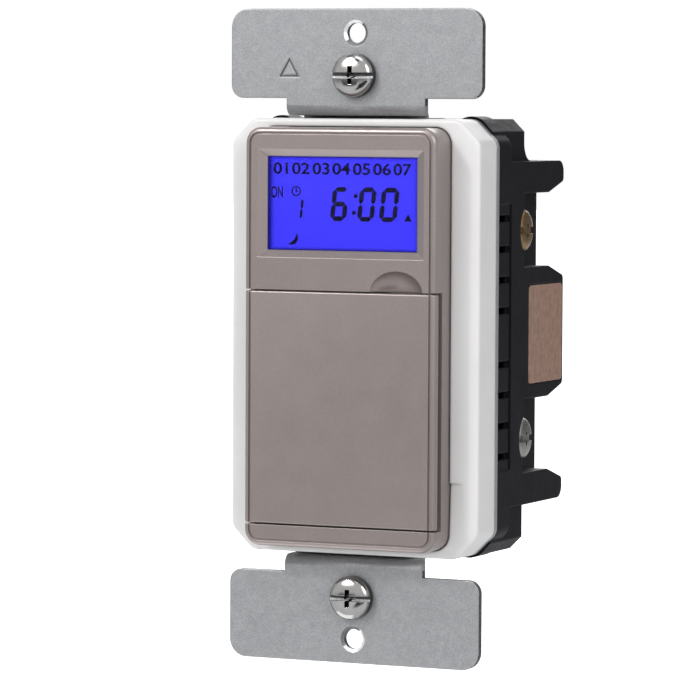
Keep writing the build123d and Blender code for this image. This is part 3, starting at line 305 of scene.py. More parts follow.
galvanised, tree, shader, place = finish("galvanised steel", (0.27, 0.272, 0.28), 0.42, 0.5)
spangle_size, spangle_wander, wander_size = 0.0011, 0.0016, 0.0012
spangle = tree.nodes.new("ShaderNodeTexVoronoi")
spangle.inputs["Scale"].default_value = 1.0 / spangle_size
spangle_warp = tree.nodes.new("ShaderNodeVectorMath")
spangle_warp.operation = "MULTIPLY_ADD"
spangle_warp.inputs[1].default_value = (spangle_wander, spangle_wander, spangle_wander)
spangle_noise = tree.nodes.new("ShaderNodeTexNoise")
spangle_noise.inputs["Scale"].default_value = 1.0 / wander_size
tree.links.new(place, spangle_noise.inputs["Vector"])
tree.links.new(spangle_noise.outputs["Color"], spangle_warp.inputs[0])
tree.links.new(place, spangle_warp.inputs[2])
tree.links.new(spangle_warp.outputs["Vector"], spangle.inputs["Vector"])
spangle_grey = tree.nodes.new("ShaderNodeSeparateColor")
tree.links.new(spangle.outputs["Color"], spangle_grey.inputs["Color"])
zinc_grain = speckle(tree, place, 0.00018, 4.0)
zinc_sum = tree.nodes.new("ShaderNodeMath")
zinc_sum.operation = "MULTIPLY_ADD"
zinc_sum.inputs[1].default_value = 0.1
tree.links.new(spangle_grey.outputs["Red"], zinc_sum.inputs[0])
tree.links.new(zinc_grain, zinc_sum.inputs[2])
shades(tree, zinc_sum.outputs[0], (
    (0.33, (0.245, 0.248, 0.255)), (0.56, (0.3, 0.302, 0.31)), (0.8, (0.37, 0.372, 0.38)),
), shader.inputs["Base Color"])
spread(tree, speckle(tree, place, 0.0009), 0.34, 0.5, shader.inputs["Roughness"])
relief(tree, zinc_grain, shader, 0.00003, 0.6, 0.0004)
dress(strap, galvanised)
# Painted shade: a dark steel for the walls of the wall holes and for the ears' right edges.
edge_shade_paint, tree, shader, place = finish("sheared steel", (0.06, 0.06, 0.065), 0.45, 0.7)
mottle(
    tree, place, shader, 0.0005, (0.05, 0.05, 0.053), (0.1, 0.1, 0.105), (0.35, 0.65),
    stretch=(1.0, 0.2, 1.0),
)
relief(tree, speckle(tree, place, 0.0003), shader, 0.00002, 0.5)
# Painted shade: a darker steel for the stamp's hollow and the shaded sides of the countersinks.
recess_shade_paint, tree, shader, place = finish("stamped steel", (0.15, 0.15, 0.155), 0.5, 0.5)
mottle(tree, place, shader, 0.0003, (0.12, 0.12, 0.124), (0.17, 0.17, 0.175), (0.35, 0.65))
relief(tree, speckle(tree, place, 0.0003), shader, 0.00002, 0.5)
# Painted highlight: a pale steel for the lit side of each countersink and the box screws' slot flanks.
glint_paint, tree, shader, place = finish("glint paint", (0.75, 0.75, 0.76), 0.3, 0.4)
mottle(tree, place, shader, 0.0006, (0.62, 0.62, 0.63), (0.85, 0.85, 0.86), (0.35, 0.65))
for metal in (edge_shade_paint, recess_shade_paint, glint_paint):
    strap.data.materials.append(metal)
# Hole walls and the ears' right edges, which are sheared, get a dark painted shade, the stamp and
# the countersinks a lighter painted shade, and each countersink has one side with a painted highlight.
glint_start = 0.0004
stamp_top_depth = 0.00005
stamp_floor_depth = 0.0007
stamp_reach = 0.0027
for face in strap.data.polygons:
    middle = face.center
    above_hole = abs(middle.z) - wall_hole_height
    from_hole = math.hypot(middle.x, above_hole)
    inside_ear = ear_front + stamp_top_depth < middle.y < ear_front + stamp_floor_depth
    if from_hole < wall_hole_reach and abs(face.normal.y) < 0.3:
        face.material_index = 1
    elif from_hole < countersink_reach and abs(face.normal.y) < 0.9:
        glint_side = glint_start + middle.x if middle.z > 0.0 else -glint_start - middle.x
        face.material_index = 3 if above_hole > glint_side else 2
    elif abs(face.normal.y) < 0.2 and face.normal.x > 0.5 and abs(middle.z) > neck_start:
        face.material_index = 1
    elif inside_ear and (middle - stamp_centre).length < stamp_reach:
        face.material_index = 2
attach(strap, "switch_body")
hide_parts("mounting_strap")

# Front frame: the white tray round the bezel, injection moulded in one piece, with a satin
# skin, cut corners and a shallow notch for a pry tool at its lower right.
def smooth(piece):
    """Smooth shading, but for edges sharper than 30 degrees."""
    bpy.ops.object.select_all(action="DESELECT")
    piece.select_set(True)
    bpy.ops.object.shade_smooth_by_angle(angle=math.radians(30.0))


tray_white, tree, shader, place = finish("white moulding", (0.71, 0.7, 0.69), 0.36)
mottle(tree, place, shader, 0.012, (0.635, 0.622, 0.615), (0.67, 0.657, 0.65), detail=2.0)
spread(tree, speckle(tree, place, 0.003), 0.3, 0.42, shader.inputs["Roughness"])
relief(tree, speckle(tree, place, 0.00025), shader, 0.000006, 0.5, 0.0006)
shader.inputs["Subsurface Weight"].default_value = 0.12
shader.inputs["Subsurface Radius"].default_value = (1.0, 0.9, 0.8)
shader.inputs["Subsurface Scale"].default_value = 0.001
same_place = 0.00001
pry_floor = -0.0008
pry_floor_inner = -0.00085
pry_floor_outer = -0.00129
pry_left, pry_right, pry_ramp_end = 0.0167, 0.0192, 0.019
pry_bottom, pry_top, pry_ramp_bottom = -0.0325, -0.0226, -0.0308
tray = merged_copy("front_frame", "tray")
# The pry recess gets a floor that rises to its rim.
for vertex in tray.data.vertices:
    in_recess = pry_left < vertex.co.x < pry_right and pry_bottom < vertex.co.z < pry_top
    if in_recess and abs(vertex.co.y - pry_floor) < same_place:
        at_rim = vertex.co.x > pry_ramp_end or vertex.co.z < pry_ramp_bottom
        vertex.co.y = pry_floor_outer if at_rim else pry_floor_inner
smooth(tray)
dress(tray, tray_white)
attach(tray, "switch_body")
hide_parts("front_frame")

# Bezel and door: two mouldings sprayed with one satin taupe paint, which holds a fine
# metallic grain. The bezel clips into the tray and the door turns on two moulded pins.
taupe, tree, shader, place = finish("taupe paint", (0.252, 0.214, 0.204), 0.34, 0.55, 0.4)
shader.inputs["Coat Weight"].default_value = 0.4
shader.inputs["Coat Roughness"].default_value = 0.14
mottle(
    tree, place, shader, 0.00025, (0.245, 0.208, 0.198), (0.262, 0.223, 0.212), (0.35, 0.65), detail=2.0,
)
spread(tree, speckle(tree, place, 0.004), 0.31, 0.36, shader.inputs["Roughness"])
relief(tree, speckle(tree, place, 0.0002, 2.0), shader, 0.000005, 0.3, 0.00016)
bezel_front = -0.0071
crease_depth = 0.0003
crease_width = 0.00034
crease_size = (0.03168, 0.06528, 1.0)
crease_corner = 0.0018
scoop_place = (0.00989, -0.008, 0.0075)
scoop_size = (0.00475, 0.0028, 0.0036)
display_height = 0.02135
mitre_middle = -0.00661
mitre_thickness = 0.0012
mitre_back = -0.00609
mitre_half_width, mitre_half_height = 0.01297, 0.00742
mitre_side_slope, mitre_end_slope = 1.6, 1.2
# One ring-shaped groove runs round bezel and door together. The bezel also gets a scoop for
# the fingertip and the display's bevel, which is mitred at its four corners.
for node, name, body in (("front_bezel", "bezel", "switch_body"), ("door", "door_cover", "door_leaf")):
    skin = merged_copy(node, name)
    bpy.ops.object.select_all(action="DESELECT")
    bpy.ops.mesh.primitive_plane_add(
        size=1.0, location=(0.0, bezel_front - crease_depth, 0.0), rotation=(math.radians(90.0), 0.0, 0.0),
    )
    ring = bpy.context.object
    ring.scale = crease_size
    bpy.ops.object.transform_apply(location=True, rotation=True, scale=True)
    bpy.ops.object.mode_set(mode="EDIT")
    bpy.ops.mesh.select_all(action="SELECT")
    bpy.ops.mesh.bevel(offset=crease_corner, segments=10, affect="VERTICES")
    bpy.ops.mesh.inset(thickness=crease_width)
    bpy.ops.mesh.delete(type="FACE")
    bpy.ops.mesh.select_all(action="SELECT")
    bpy.ops.mesh.extrude_region_move(TRANSFORM_OT_translate={"value": (0.0, 2.0 * crease_depth, 0.0)})
    bpy.ops.mesh.select_all(action="SELECT")
    bpy.ops.mesh.normals_make_consistent(inside=False)
    bpy.ops.object.mode_set(mode="OBJECT")
    skin_cuts = [ring]
    if name == "bezel":
        bpy.ops.object.select_all(action="DESELECT")
        bpy.ops.mesh.primitive_uv_sphere_add(
            segments=96, ring_count=48, radius=1.0, location=scoop_place, scale=scoop_size,
        )
        skin_cuts.append(bpy.context.object)
        bpy.ops.object.transform_apply(location=True, rotation=True, scale=True)
        mitre = plain_block((0.0, mitre_middle, display_height), (1.0, mitre_thickness, 1.0))
        skin_cuts.append(mitre)
        for vertex in mitre.data.vertices:
            rise = mitre_back - vertex.co.y
            half_width = mitre_half_width + mitre_side_slope * rise
            half_height = mitre_half_height + mitre_end_slope * rise
            vertex.co.x = math.copysign(half_width, vertex.co.x)
            vertex.co.z = display_height + math.copysign(half_height, vertex.co.z - display_height)
    for block in skin_cuts:
        cut(skin, block)
    smooth(skin)
    dress(skin, taupe)
    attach(skin, body)
    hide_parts(node)

# Display: a clear window over a lit glass panel with dark segments, in a white holder, with a
# moulded light guide behind it and two rubber contact strips. It shows plain figures and signs.
window_low, window_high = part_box("lcd_window")
pane_gap = 0.0001
pane_back_gap = 0.00012
pane_low = Vector(window_low) + Vector((pane_gap, 0.0, pane_gap))
pane_high = Vector(window_high) - Vector((pane_gap, pane_back_gap, pane_gap))
pane = plain_block((pane_low + pane_high) / 2.0, pane_high - pane_low)
pane.name = "window_pane"
pane_edge = pane.modifiers.new("edge", "BEVEL")
pane_edge.width = 0.8 * pane_gap
pane_edge.segments = 2
bpy.ops.object.modifier_apply(modifier="edge")
clear, tree, shader, place = finish("clear acrylic", (1.0, 1.0, 1.0), 0.04, 0.0, 0.08)
shader.inputs["Transmission Weight"].default_value = 1.0
shader.inputs["IOR"].default_value = 1.12
relief(tree, speckle(tree, place, 0.004), shader, 0.000004, 0.3)
pane.data.materials.append(clear)
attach(pane, "switch_body")
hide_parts("lcd_window")

glass_centre = Vector((0.0, 0.0, display_height))
glass_half = Vector((0.01295, 0.0, 0.0074))
lit, tree, shader, place = finish("lit panel", (0.005, 0.005, 0.03), 0.5, 0.0, 0.05)
lit_place = tree.nodes.new("ShaderNodeMapping")
lit_place.vector_type = "TEXTURE"
lit_place.inputs["Location"].default_value = glass_centre
lit_place.inputs["Scale"].default_value = (glass_half.x, 1.0, glass_half.z)
tree.links.new(place, lit_place.inputs["Vector"])
lit_axes = tree.nodes.new("ShaderNodeSeparateXYZ")
tree.links.new(lit_place.outputs["Vector"], lit_axes.inputs["Vector"])
edge_shade_reach = tree.nodes.new("ShaderNodeMath")
edge_shade_reach.operation = "MAXIMUM"
for index, axis in enumerate("XZ"):
    from_middle = tree.nodes.new("ShaderNodeMath")
    from_middle.operation = "ABSOLUTE"
    tree.links.new(lit_axes.outputs[axis], from_middle.inputs[0])
    tree.links.new(from_middle.outputs[0], edge_shade_reach.inputs[index])
# Painted shade: the glow darkens towards the panel's four edges, as under the window's frame.
shades(tree, edge_shade_reach.outputs[0], (
    (0.0, (0.048, 0.039, 1.0)), (0.93, (0.044, 0.036, 0.97)),
    (0.975, (0.025, 0.02, 0.6)), (1.0, (0.008, 0.006, 0.2)),
), shader.inputs["Emission Color"])
shader.inputs["Emission Strength"].default_value = 1.0
dress(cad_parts["lcd_panel"], lit)

segment_dark, tree, shader, place = finish("dark segments", (0.004, 0.004, 0.02), 0.5, 0.0, 0.05)
mottle(tree, place, shader, 0.0006, (0.003, 0.003, 0.016), (0.006, 0.006, 0.028))
segment_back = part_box("lcd_panel")[0].y
segment_thick = 0.00004
segment_slant = 0.115
segment_gap = 0.00004
figure_bars = {"0": "abcdef", "1": "bc", "6": "acdefg"}


def thicken(piece):
    """A flat mark gets its thickness towards the viewer."""
    bpy.ops.object.select_all(action="DESELECT")
    piece.select_set(True)
    bpy.context.view_layer.objects.active = piece
    bpy.ops.object.mode_set(mode="EDIT")
    bpy.ops.mesh.select_all(action="SELECT")
    bpy.ops.mesh.extrude_region_move(TRANSFORM_OT_translate={"value": (0.0, -segment_thick, 0.0)})
    bpy.ops.mesh.select_all(action="SELECT")
    bpy.ops.mesh.normals_make_consistent(inside=False)
    bpy.ops.object.mode_set(mode="OBJECT")


def show(piece):
    """A flat mark becomes a dark segment of the panel."""
    thicken(piece)
    dress(piece, segment_dark)
    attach(piece, "switch_body")


def bar(start, end, width):
    """One lit bar of a digit, with pointed ends, flat on the panel."""
    bpy.ops.object.select_all(action="DESELECT")
    bpy.ops.mesh.primitive_circle_add(vertices=6, radius=0.001, fill_type="NGON", location=(0.0, 0.0, 0.0))
    piece = bpy.context.object
    line = Vector(end) - Vector(start)
    along = line.normalized()
    across = Vector((-along.y, along.x))
    half = width / 2.0
    outline = (
        Vector(start), Vector(start) + along * half + across * half,
        Vector(end) - along * half + across * half, Vector(end),
        Vector(end) - along * half - across * half, Vector(start) + along * half - across * half,
    )
    for vertex, point in zip(piece.data.vertices, outline):
        vertex.co = (point.x, segment_back, point.y)
    return piece


def joined(pieces):
    """Those pieces as one, under the first one's name."""
    bpy.ops.object.select_all(action="DESELECT")
    for piece in pieces:
        piece.select_set(True)
    bpy.context.view_layer.objects.active = pieces[0]
    bpy.ops.object.join()
    return pieces[0]


def digit(figure, name, left, bottom, width, height, stroke):
    """A seven-bar figure as one flat piece, leaning a little to the right."""
    low, high, middle = stroke / 2.0, height - stroke / 2.0, height / 2.0
    near, far, gap = stroke / 2.0, width - stroke / 2.0, segment_gap
    ends = {
        "a": ((near + gap, high), (far - gap, high)),
        "b": ((far, middle + gap), (far, high - gap)),
        "c": ((far, low + gap), (far, middle - gap)),
        "d": ((near + gap, low), (far - gap, low)),
        "e": ((near, low + gap), (near, middle - gap)),
        "f": ((near, middle + gap), (near, high - gap)),
        "g": ((near + gap, middle), (far - gap, middle)),
    }
    piece = joined([bar(*ends[letter], stroke) for letter in figure_bars[figure]])
    piece.name = name
    for vertex in piece.data.vertices:
        vertex.co.x += left + segment_slant * vertex.co.z
        vertex.co.z += bottom
    show(piece)


time_bottom = 0.0186
time_height = 0.0054
time_stroke = 0.00076
time_lean = segment_slant * time_height
for index, (figure, left, right) in enumerate((
    ("6", -0.00245, 0.00098), ("0", 0.00226, 0.00576), ("0", 0.00607, 0.00973),
)):
    figure_width = right - left - time_lean
    digit(figure, f"hour_figure_{index}", left, time_bottom, figure_width, time_height, time_stroke)
program_left, program_bottom = -0.00842, 0.01867
program_width, program_height, program_stroke = 0.00104, 0.00349, 0.00042
digit("1", "program_figure", program_left, program_bottom, program_width, program_height, program_stroke)
letter_boldness = 0.016
widest_letters = 1.25


def words(text, name, left, right, bottom, top, back):
    """A plain figure or word as a flat outline, centred in that box, at that depth."""
    bpy.ops.object.select_all(action="DESELECT")
    bpy.ops.object.text_add(location=(0.0, 0.0, 0.0))
    bpy.context.object.data.body = text
    bpy.context.object.data.offset = letter_boldness
    bpy.ops.object.convert(target="MESH")
    piece = bpy.context.object
    piece.name = name
    across = [vertex.co.x for vertex in piece.data.vertices]
    along = [vertex.co.y for vertex in piece.data.vertices]
    tall = max(along) - min(along)
    upright = (top - bottom) / tall
    sideways = min(widest_letters * upright, (right - left) / (max(across) - min(across)))
    middle = (max(across) + min(across)) / 2.0
    for vertex in piece.data.vertices:
        vertex.co = (
            (left + right) / 2.0 + sideways * (vertex.co.x - middle), back,
            bottom + upright * (vertex.co.y - min(along)),
        )
    return piece


day_left, day_right, day_bottom, day_top = -0.01285, 0.01193, 0.02595, 0.0278
day_pitch = (day_right - day_left) / 7.0
day_start_share, day_width_share = 0.06, 0.87
for day in range(7):
    start = day_left + (day + day_start_share) * day_pitch
    end = start + day_width_share * day_pitch
    show(words(f"0{day + 1}", f"day_figure_{day + 1}", start, end, day_bottom, day_top, segment_back))
on_left, on_right, on_bottom, on_top = -0.01274, -0.0107, 0.02215, 0.024
show(words("ON", "on_word", on_left, on_right, on_bottom, on_top, segment_back))


def flat_mark(name, corners, radius, across, height):
    """A filled outline with that many corners, flat on the panel."""
    bpy.ops.object.select_all(action="DESELECT")
    bpy.ops.mesh.primitive_circle_add(
        vertices=corners, radius=radius, fill_type="NGON", rotation=(math.radians(90.0), 0.0, 0.0),
        location=(across, segment_back, height),
    )
    piece = bpy.context.object
    piece.name = name
    bpy.ops.object.transform_apply(location=True, rotation=True, scale=True)
    return piece


colon_left, colon_radius = 0.0016, 0.00034
for index, height in enumerate((0.01995, 0.02262)):
    colon_across = colon_left + segment_slant * (height - time_bottom)
    show(flat_mark(f"dot_mark_{index}", 24, colon_radius, colon_across, height))
afternoon_across, afternoon_height, afternoon_radius = 0.01115, 0.0191, 0.00075
show(flat_mark("afternoon_mark", 3, afternoon_radius, afternoon_across, afternoon_height))

clock_across, clock_height = -0.00835, 0.02325
clock_radius, clock_rim, hand_width = 0.00082, 0.0002, 0.00018
clock_pivot = clock_height - 0.0001
minute_tip = clock_pivot + 0.00065
hour_start, hour_tip = clock_across - 0.00007, clock_across + 0.0004
hour_height = clock_pivot + 0.00007
clock_face = flat_mark("clock_mark", 40, clock_radius, clock_across, clock_height)
bpy.ops.object.mode_set(mode="EDIT")
bpy.ops.mesh.select_all(action="SELECT")
bpy.ops.mesh.inset(thickness=clock_rim)
bpy.ops.mesh.delete(type="FACE")
bpy.ops.object.mode_set(mode="OBJECT")
minute_hand = bar((clock_across, clock_pivot), (clock_across, minute_tip), hand_width)
hour_hand = bar((hour_start, hour_height), (hour_tip, hour_height), hand_width)
joined([clock_face, minute_hand, hour_hand])
show(clock_face)

crescent_radius = 0.0011
crescent_hollow_share = 0.42
crescent_across, crescent_height = -0.0091, 0.0158
crescent_tilt = Matrix.Rotation(math.radians(-132.0), 2)
crescent_points = 40
bpy.ops.object.select_all(action="DESELECT")
bpy.ops.mesh.primitive_circle_add(
    vertices=crescent_points, radius=crescent_radius, fill_type="NGON", location=(0.0, 0.0, 0.0),
)
crescent = bpy.context.object
crescent.name = "crescent_mark"
for index, vertex in enumerate(crescent.data.vertices):
    turn = index / crescent_points * 2.0 * math.pi
    rim = crescent_radius * Vector((math.cos(turn), math.sin(turn)))
    if index > crescent_points // 2:
        rim.y *= -crescent_hollow_share
    rim = crescent_tilt @ rim
    vertex.co = (crescent_across + rim.x, segment_back, crescent_height + rim.y)
show(crescent)


def stripes(tree, place, direction, density):
    """Even bands, one after another in that direction."""
    wave = tree.nodes.new("ShaderNodeTexWave")
    wave.bands_direction = direction
    wave.inputs["Scale"].default_value = density
    tree.links.new(place, wave.inputs["Vector"])
    return wave.outputs["Fac"]


holder_white, tree, shader, place = finish("holder moulding", (0.72, 0.72, 0.7), 0.5)
mottle(tree, place, shader, 0.004, (0.68, 0.68, 0.66), (0.75, 0.75, 0.73))
relief(tree, speckle(tree, place, 0.0003), shader, 0.000008, 0.4)
dress(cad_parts["lcd_holder"], holder_white)
guide, tree, shader, place = finish("light guide", (0.6, 0.65, 0.9), 0.15)
shader.inputs["Transmission Weight"].default_value = 0.6
mottle(tree, place, shader, 0.002, (0.55, 0.6, 0.88), (0.68, 0.72, 0.93))
dress(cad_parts["lcd_backlight"], guide)
layered, tree, shader, place = finish("layered rubber", (0.3, 0.3, 0.3), 0.7)
shades(tree, stripes(tree, place, "X", 900.0), (
    (0.3, (0.05, 0.05, 0.05)), (0.6, (0.45, 0.42, 0.42)),
), shader.inputs["Base Color"])
dress(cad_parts["contact_strips"], layered)

# Keys: soft silicone caps with a flange under the bezel's deck, each on a hard plunger of its
# switch. The large one carries printed words for its two states.
rubber, tree, shader, place = finish("silicone key", (0.33, 0.33, 0.34), 0.62)
mottle(tree, place, shader, 0.002, (0.3, 0.3, 0.31), (0.37, 0.37, 0.38))
relief(tree, speckle(tree, place, 0.00015), shader, 0.00001, 0.5)
shader.inputs["Sheen Weight"].default_value = 0.1
black, tree, shader, place = finish("black moulding", (0.018, 0.018, 0.02), 0.45)
mottle(tree, place, shader, 0.001, (0.014, 0.014, 0.016), (0.024, 0.024, 0.026))
relief(tree, speckle(tree, place, 0.0002), shader, 0.000008, 0.4)
for key in ("program", "clock", "day", "random", "hour", "minute", "on_off", "reset"):
    dress(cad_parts[f"{key}_key"], rubber)
    dress(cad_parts[f"{key}_plunger"], black)
key_low, key_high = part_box("on_off_key")
key_margin = 0.0022
key_word_half = 0.0009
for word, share in (("ON", 0.68), ("OFF", 0.32)):
    word_middle = key_low.z + share * (key_high.z - key_low.z)
    printed = words(
        word, f"key_{word.lower()}_word", key_low.x + key_margin, key_high.x - key_margin,
        word_middle - key_word_half, word_middle + key_word_half, key_low.y,
    )
    thicken(printed)
    dress(printed, black)
    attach(printed, "on_off_button")

# Rear housing: a charcoal moulding with a satin skin, side vents, lugs at its terminals and a
# block for the label. The power board and the terminals sit in it.
charcoal, tree, shader, place = finish("charcoal moulding", (0.008, 0.0078, 0.0105), 0.5, 0.0, 0.06)
mottle(tree, place, shader, 0.006, (0.0068, 0.0066, 0.009), (0.0095, 0.0093, 0.0122))
spread(tree, speckle(tree, place, 0.0015), 0.42, 0.5, shader.inputs["Roughness"])
relief(tree, speckle(tree, place, 0.0003), shader, 0.000008, 0.4, 0.0004)
vent_side, vent_side_raised = 0.02105, 0.0215
vent_half_height, vent_back = 0.0214, 0.0114
slot_across, slot_middle = 0.0208, 0.007
slot_size = (0.0024, 0.0016, 0.00112)
slot_start, slot_pitch = 0.0043, 0.0049
terminal_middle, terminal_height = 0.0201, 0.01685
scallop_across = 0.0219
scallop_radius, scallop_depth = 0.0046, 0.002
housing = merged_copy("rear_housing", "housing")
# The vent panel stands out almost to the flange, with slots cut into it in rows, and round
# scallops give room for the four screw heads.
for vertex in housing.data.vertices:
    on_panel = abs(vertex.co.z) < vent_half_height and vertex.co.y < vent_back
    if on_panel and abs(abs(vertex.co.x) - vent_side) < same_place:
        vertex.co.x = math.copysign(vent_side_raised, vertex.co.x)
slots = []
for side in (-1.0, 1.0):
    for row in range(4):
        slot_height = slot_start + slot_pitch * row
        for end in (-1.0, 1.0):
            slots.append(plain_block((side * slot_across, slot_middle, end * slot_height), slot_size))
cut(housing, joined(slots))
for side in (-1.0, 1.0):
    for end in (-1.0, 1.0):
        bpy.ops.object.select_all(action="DESELECT")
        bpy.ops.mesh.primitive_cylinder_add(
            vertices=72, radius=scallop_radius, depth=scallop_depth,
            location=(side * scallop_across, terminal_middle, end * terminal_height),
            rotation=(0.0, math.radians(90.0), 0.0),
        )
        scallop = bpy.context.object
        bpy.ops.object.transform_apply(location=True, rotation=True, scale=True)
        cut(housing, scallop)
smooth(housing)
dress(housing, charcoal)
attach(housing, "switch_body")
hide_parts("rear_housing")

# Label: a thin brown foil, cut to a rectangle and stuck into a shallow pocket of the housing's
# right block. It is bare.
foil, tree, shader, place = finish("brown foil", (0.28, 0.17, 0.13), 0.42, 0.1, 0.12)
mottle(tree, place, shader, 0.0012, (0.235, 0.142, 0.106), (0.325, 0.205, 0.158))
relief(tree, speckle(tree, place, 0.0012, 2.0), shader, 0.00001, 0.5)
dress(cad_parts["blank_label"], foil)

# Terminal screws and box screws: cold-headed wire with a rolled thread, a pan head with a slot
# and a cross recess, in brass, nickel plate or green zinc plate. The box screws have a long
# thin neck, so that they stay in the strap.
def plated(name, colour, roughness, fleck):
    """A plated metal with fine scratches and a little tarnish."""
    metal, tree, shader, place = finish(name, colour, roughness, 1.0)
    dull = tuple(channel * (1.0 - fleck) for channel in colour)
    shades(tree, speckle(tree, place, 0.0009), ((0.35, dull), (0.65, colour)), shader.inputs["Base Color"])
    spread(tree, speckle(tree, place, 0.0005), roughness - 0.03, roughness + 0.05, shader.inputs["Roughness"])
    relief(tree, speckle(tree, place, 0.0004), shader, 0.000002, 0.3, 0.00012)
    return metal


brass = plated("screw brass", (0.31, 0.2, 0.088), 0.3, 0.35)
satin_nickel = plated("satin nickel", (0.34, 0.33, 0.32), 0.3, 0.25)
nickel = plated("screw nickel", (0.36, 0.355, 0.35), 0.12, 0.06)
green_zinc = plated("green zinc", (0.05, 0.17, 0.075), 0.36, 0.25)
# Painted shade for the box screws' slot, cross recess and head sides.
screw_shade_paint = plated("screw shade paint", (0.085, 0.083, 0.08), 0.3, 0.3)


def tool(size, place, taper=1.0):
    """A block that cuts a recess, narrower at its lower end by that taper."""
    block = plain_block(place, size)
    for vertex in block.data.vertices:
        if vertex.co.z < place[2]:
            vertex.co.x = place[0] + (vertex.co.x - place[0]) * taper
            vertex.co.y = place[1] + (vertex.co.y - place[1]) * taper
    return block


def turned_head(name, dome):
    """A head turned from that half outline, whose first and last points lie on its axis."""
    bpy.ops.object.select_all(action="DESELECT")
    bpy.ops.mesh.primitive_circle_add(
        vertices=len(dome), radius=0.001, fill_type="NOTHING", location=(0.0, 0.0, 0.0),
    )
    piece = bpy.context.object
    piece.name = name
    for vertex, point in zip(piece.data.vertices, dome):
        vertex.co = (point[0], 0.0, point[1])
    for edge in piece.data.edges:
        edge.select = max(piece.data.vertices[index].co.x for index in edge.vertices) < same_place
    for vertex in piece.data.vertices:
        vertex.select = vertex.co.x < same_place
    bpy.ops.object.mode_set(mode="EDIT")
    bpy.ops.mesh.select_mode(type="EDGE")
    bpy.ops.mesh.delete(type="EDGE")
    bpy.ops.object.mode_set(mode="OBJECT")
    turning = piece.modifiers.new("turning", "SCREW")
    turning.steps = turning.render_steps = 96
    turning.use_merge_vertices = True
    turning.merge_threshold = weld_reach
    bpy.ops.object.modifier_apply(modifier="turning")
    bpy.ops.object.mode_set(mode="EDIT")
    bpy.ops.mesh.select_all(action="SELECT")
    bpy.ops.mesh.remove_doubles(threshold=weld_reach)
    bpy.ops.mesh.normals_make_consistent(inside=False)
    bpy.ops.object.mode_set(mode="OBJECT")
    return piece


def rod(radius, top, bottom):
    """A plain round stretch of the shank."""
    bpy.ops.object.select_all(action="DESELECT")
    bpy.ops.mesh.primitive_cylinder_add(
        vertices=48, radius=radius, depth=top - bottom, location=(0.0, 0.0, (top + bottom) / 2.0),
    )
    piece = bpy.context.object
    bpy.ops.object.transform_apply(location=True, rotation=True, scale=True)
    bpy.ops.object.shade_smooth_by_angle(angle=math.radians(40.0))
    return piece


def thread_ridge(radius, start, end, pitch):
    """The rolled thread's ridge, wound up from the shank's end."""
    bpy.ops.object.select_all(action="DESELECT")
    bpy.ops.mesh.primitive_circle_add(
        vertices=3, radius=pitch, fill_type="NOTHING", location=(0.0, 0.0, 0.0),
    )
    ridge = bpy.context.object
    root = radius - 0.5 * pitch
    # The ridge's foot, crest and other foot, with their heights in pitches.
    for vertex, (out, rise) in zip(ridge.data.vertices, ((root, 0.18), (radius, 0.6), (root, 1.02))):
        vertex.co = (out, 0.0, rise * pitch - end)
    winding = ridge.modifiers.new("winding", "SCREW")
    winding.angle = 2.0 * math.pi
    winding.steps = winding.render_steps = 28
    winding.screw_offset = pitch
    winding.iterations = int((end - start - pitch) / pitch)
    bpy.ops.object.modifier_apply(modifier="winding")
    bpy.ops.object.mode_set(mode="EDIT")
    bpy.ops.mesh.select_all(action="SELECT")
    bpy.ops.mesh.remove_doubles(threshold=1e-7)
    bpy.ops.mesh.fill_holes(sides=3)
    bpy.ops.mesh.select_all(action="SELECT")
    bpy.ops.mesh.normals_make_consistent(inside=False)
    bpy.ops.object.mode_set(mode="OBJECT")
    return ridge


slot_reach = 0.009
cross_taper = 0.45
# The slot's lower flank gets a painted highlight, from here down.
slot_flank = -0.00011
recess_lowest, recess_skin = 0.0003, 0.00006


def pan_screw(name, metal, recess, dome, slot, cross, neck, thread, to_place):
    """A pan-head screw; its head's top points up until it is placed."""
    piece = turned_head(name, dome)
    head_height = dome[0][1]
    slot_width, slot_depth = slot
    cut(piece, tool((slot_reach, slot_width, 2.0 * slot_depth), (0.0, 0.0, head_height)))
    cross_width, cross_length, cross_depth = cross
    for size in ((cross_length, cross_width), (cross_width, cross_length)):
        cut(piece, tool((*size, 2.0 * cross_depth), (0.0, 0.0, head_height), cross_taper))
    bpy.ops.object.mode_set(mode="EDIT")
    bpy.ops.mesh.select_all(action="SELECT")
    bpy.ops.mesh.bisect(plane_co=(0.0, slot_flank, 0.0), plane_no=(0.0, 1.0, 0.0))
    bpy.ops.object.mode_set(mode="OBJECT")
    dress(piece, metal)
    piece.data.materials.append(recess)
    piece.data.materials.append(metal if recess == metal else glint_paint)
    rim_radius = dome[-2][0]
    # On the box screws the slot, the cross recess and the head's sides get a painted shade, and the slot's
    # lower flank beside the cross a painted highlight; the terminal screws keep their own metal.
    for face in piece.data.polygons:
        middle = face.center
        out = math.hypot(middle.x, middle.y)
        top = 0.0
        for near, far in zip(dome, dome[1:]):
            if near[0] <= out < far[0]:
                top = near[1] + (far[1] - near[1]) * (out - near[0]) / (far[0] - near[0])
        if recess_lowest < middle.z < top - recess_skin and out < 0.95 * rim_radius:
            beside_cross = abs(middle.x) > cross_width / 2.0 and face.normal.z > 0.7
            glint_face = beside_cross and -slot_width / 2.0 < middle.y < slot_flank
            face.material_index = 2 if glint_face else 1
        elif middle.z > 0.0 and out > 0.99 * rim_radius and abs(face.normal.z) < 0.3 and recess != metal:
            face.material_index = 1
    neck_radius, neck_length = neck
    thread_radius, thread_length, pitch = thread
    # The neck and thread take the first material, the head's plating. The core is a little
    # thicker than the ridge's root, so that the ridge stands in it.
    joined([
        piece, rod(neck_radius, 0.0, -neck_length),
        rod(thread_radius - 0.45 * pitch, -neck_length, -thread_length),
        thread_ridge(thread_radius, neck_length, thread_length, pitch),
    ])
    piece.data.transform(to_place)
    piece.data.update()
    return piece


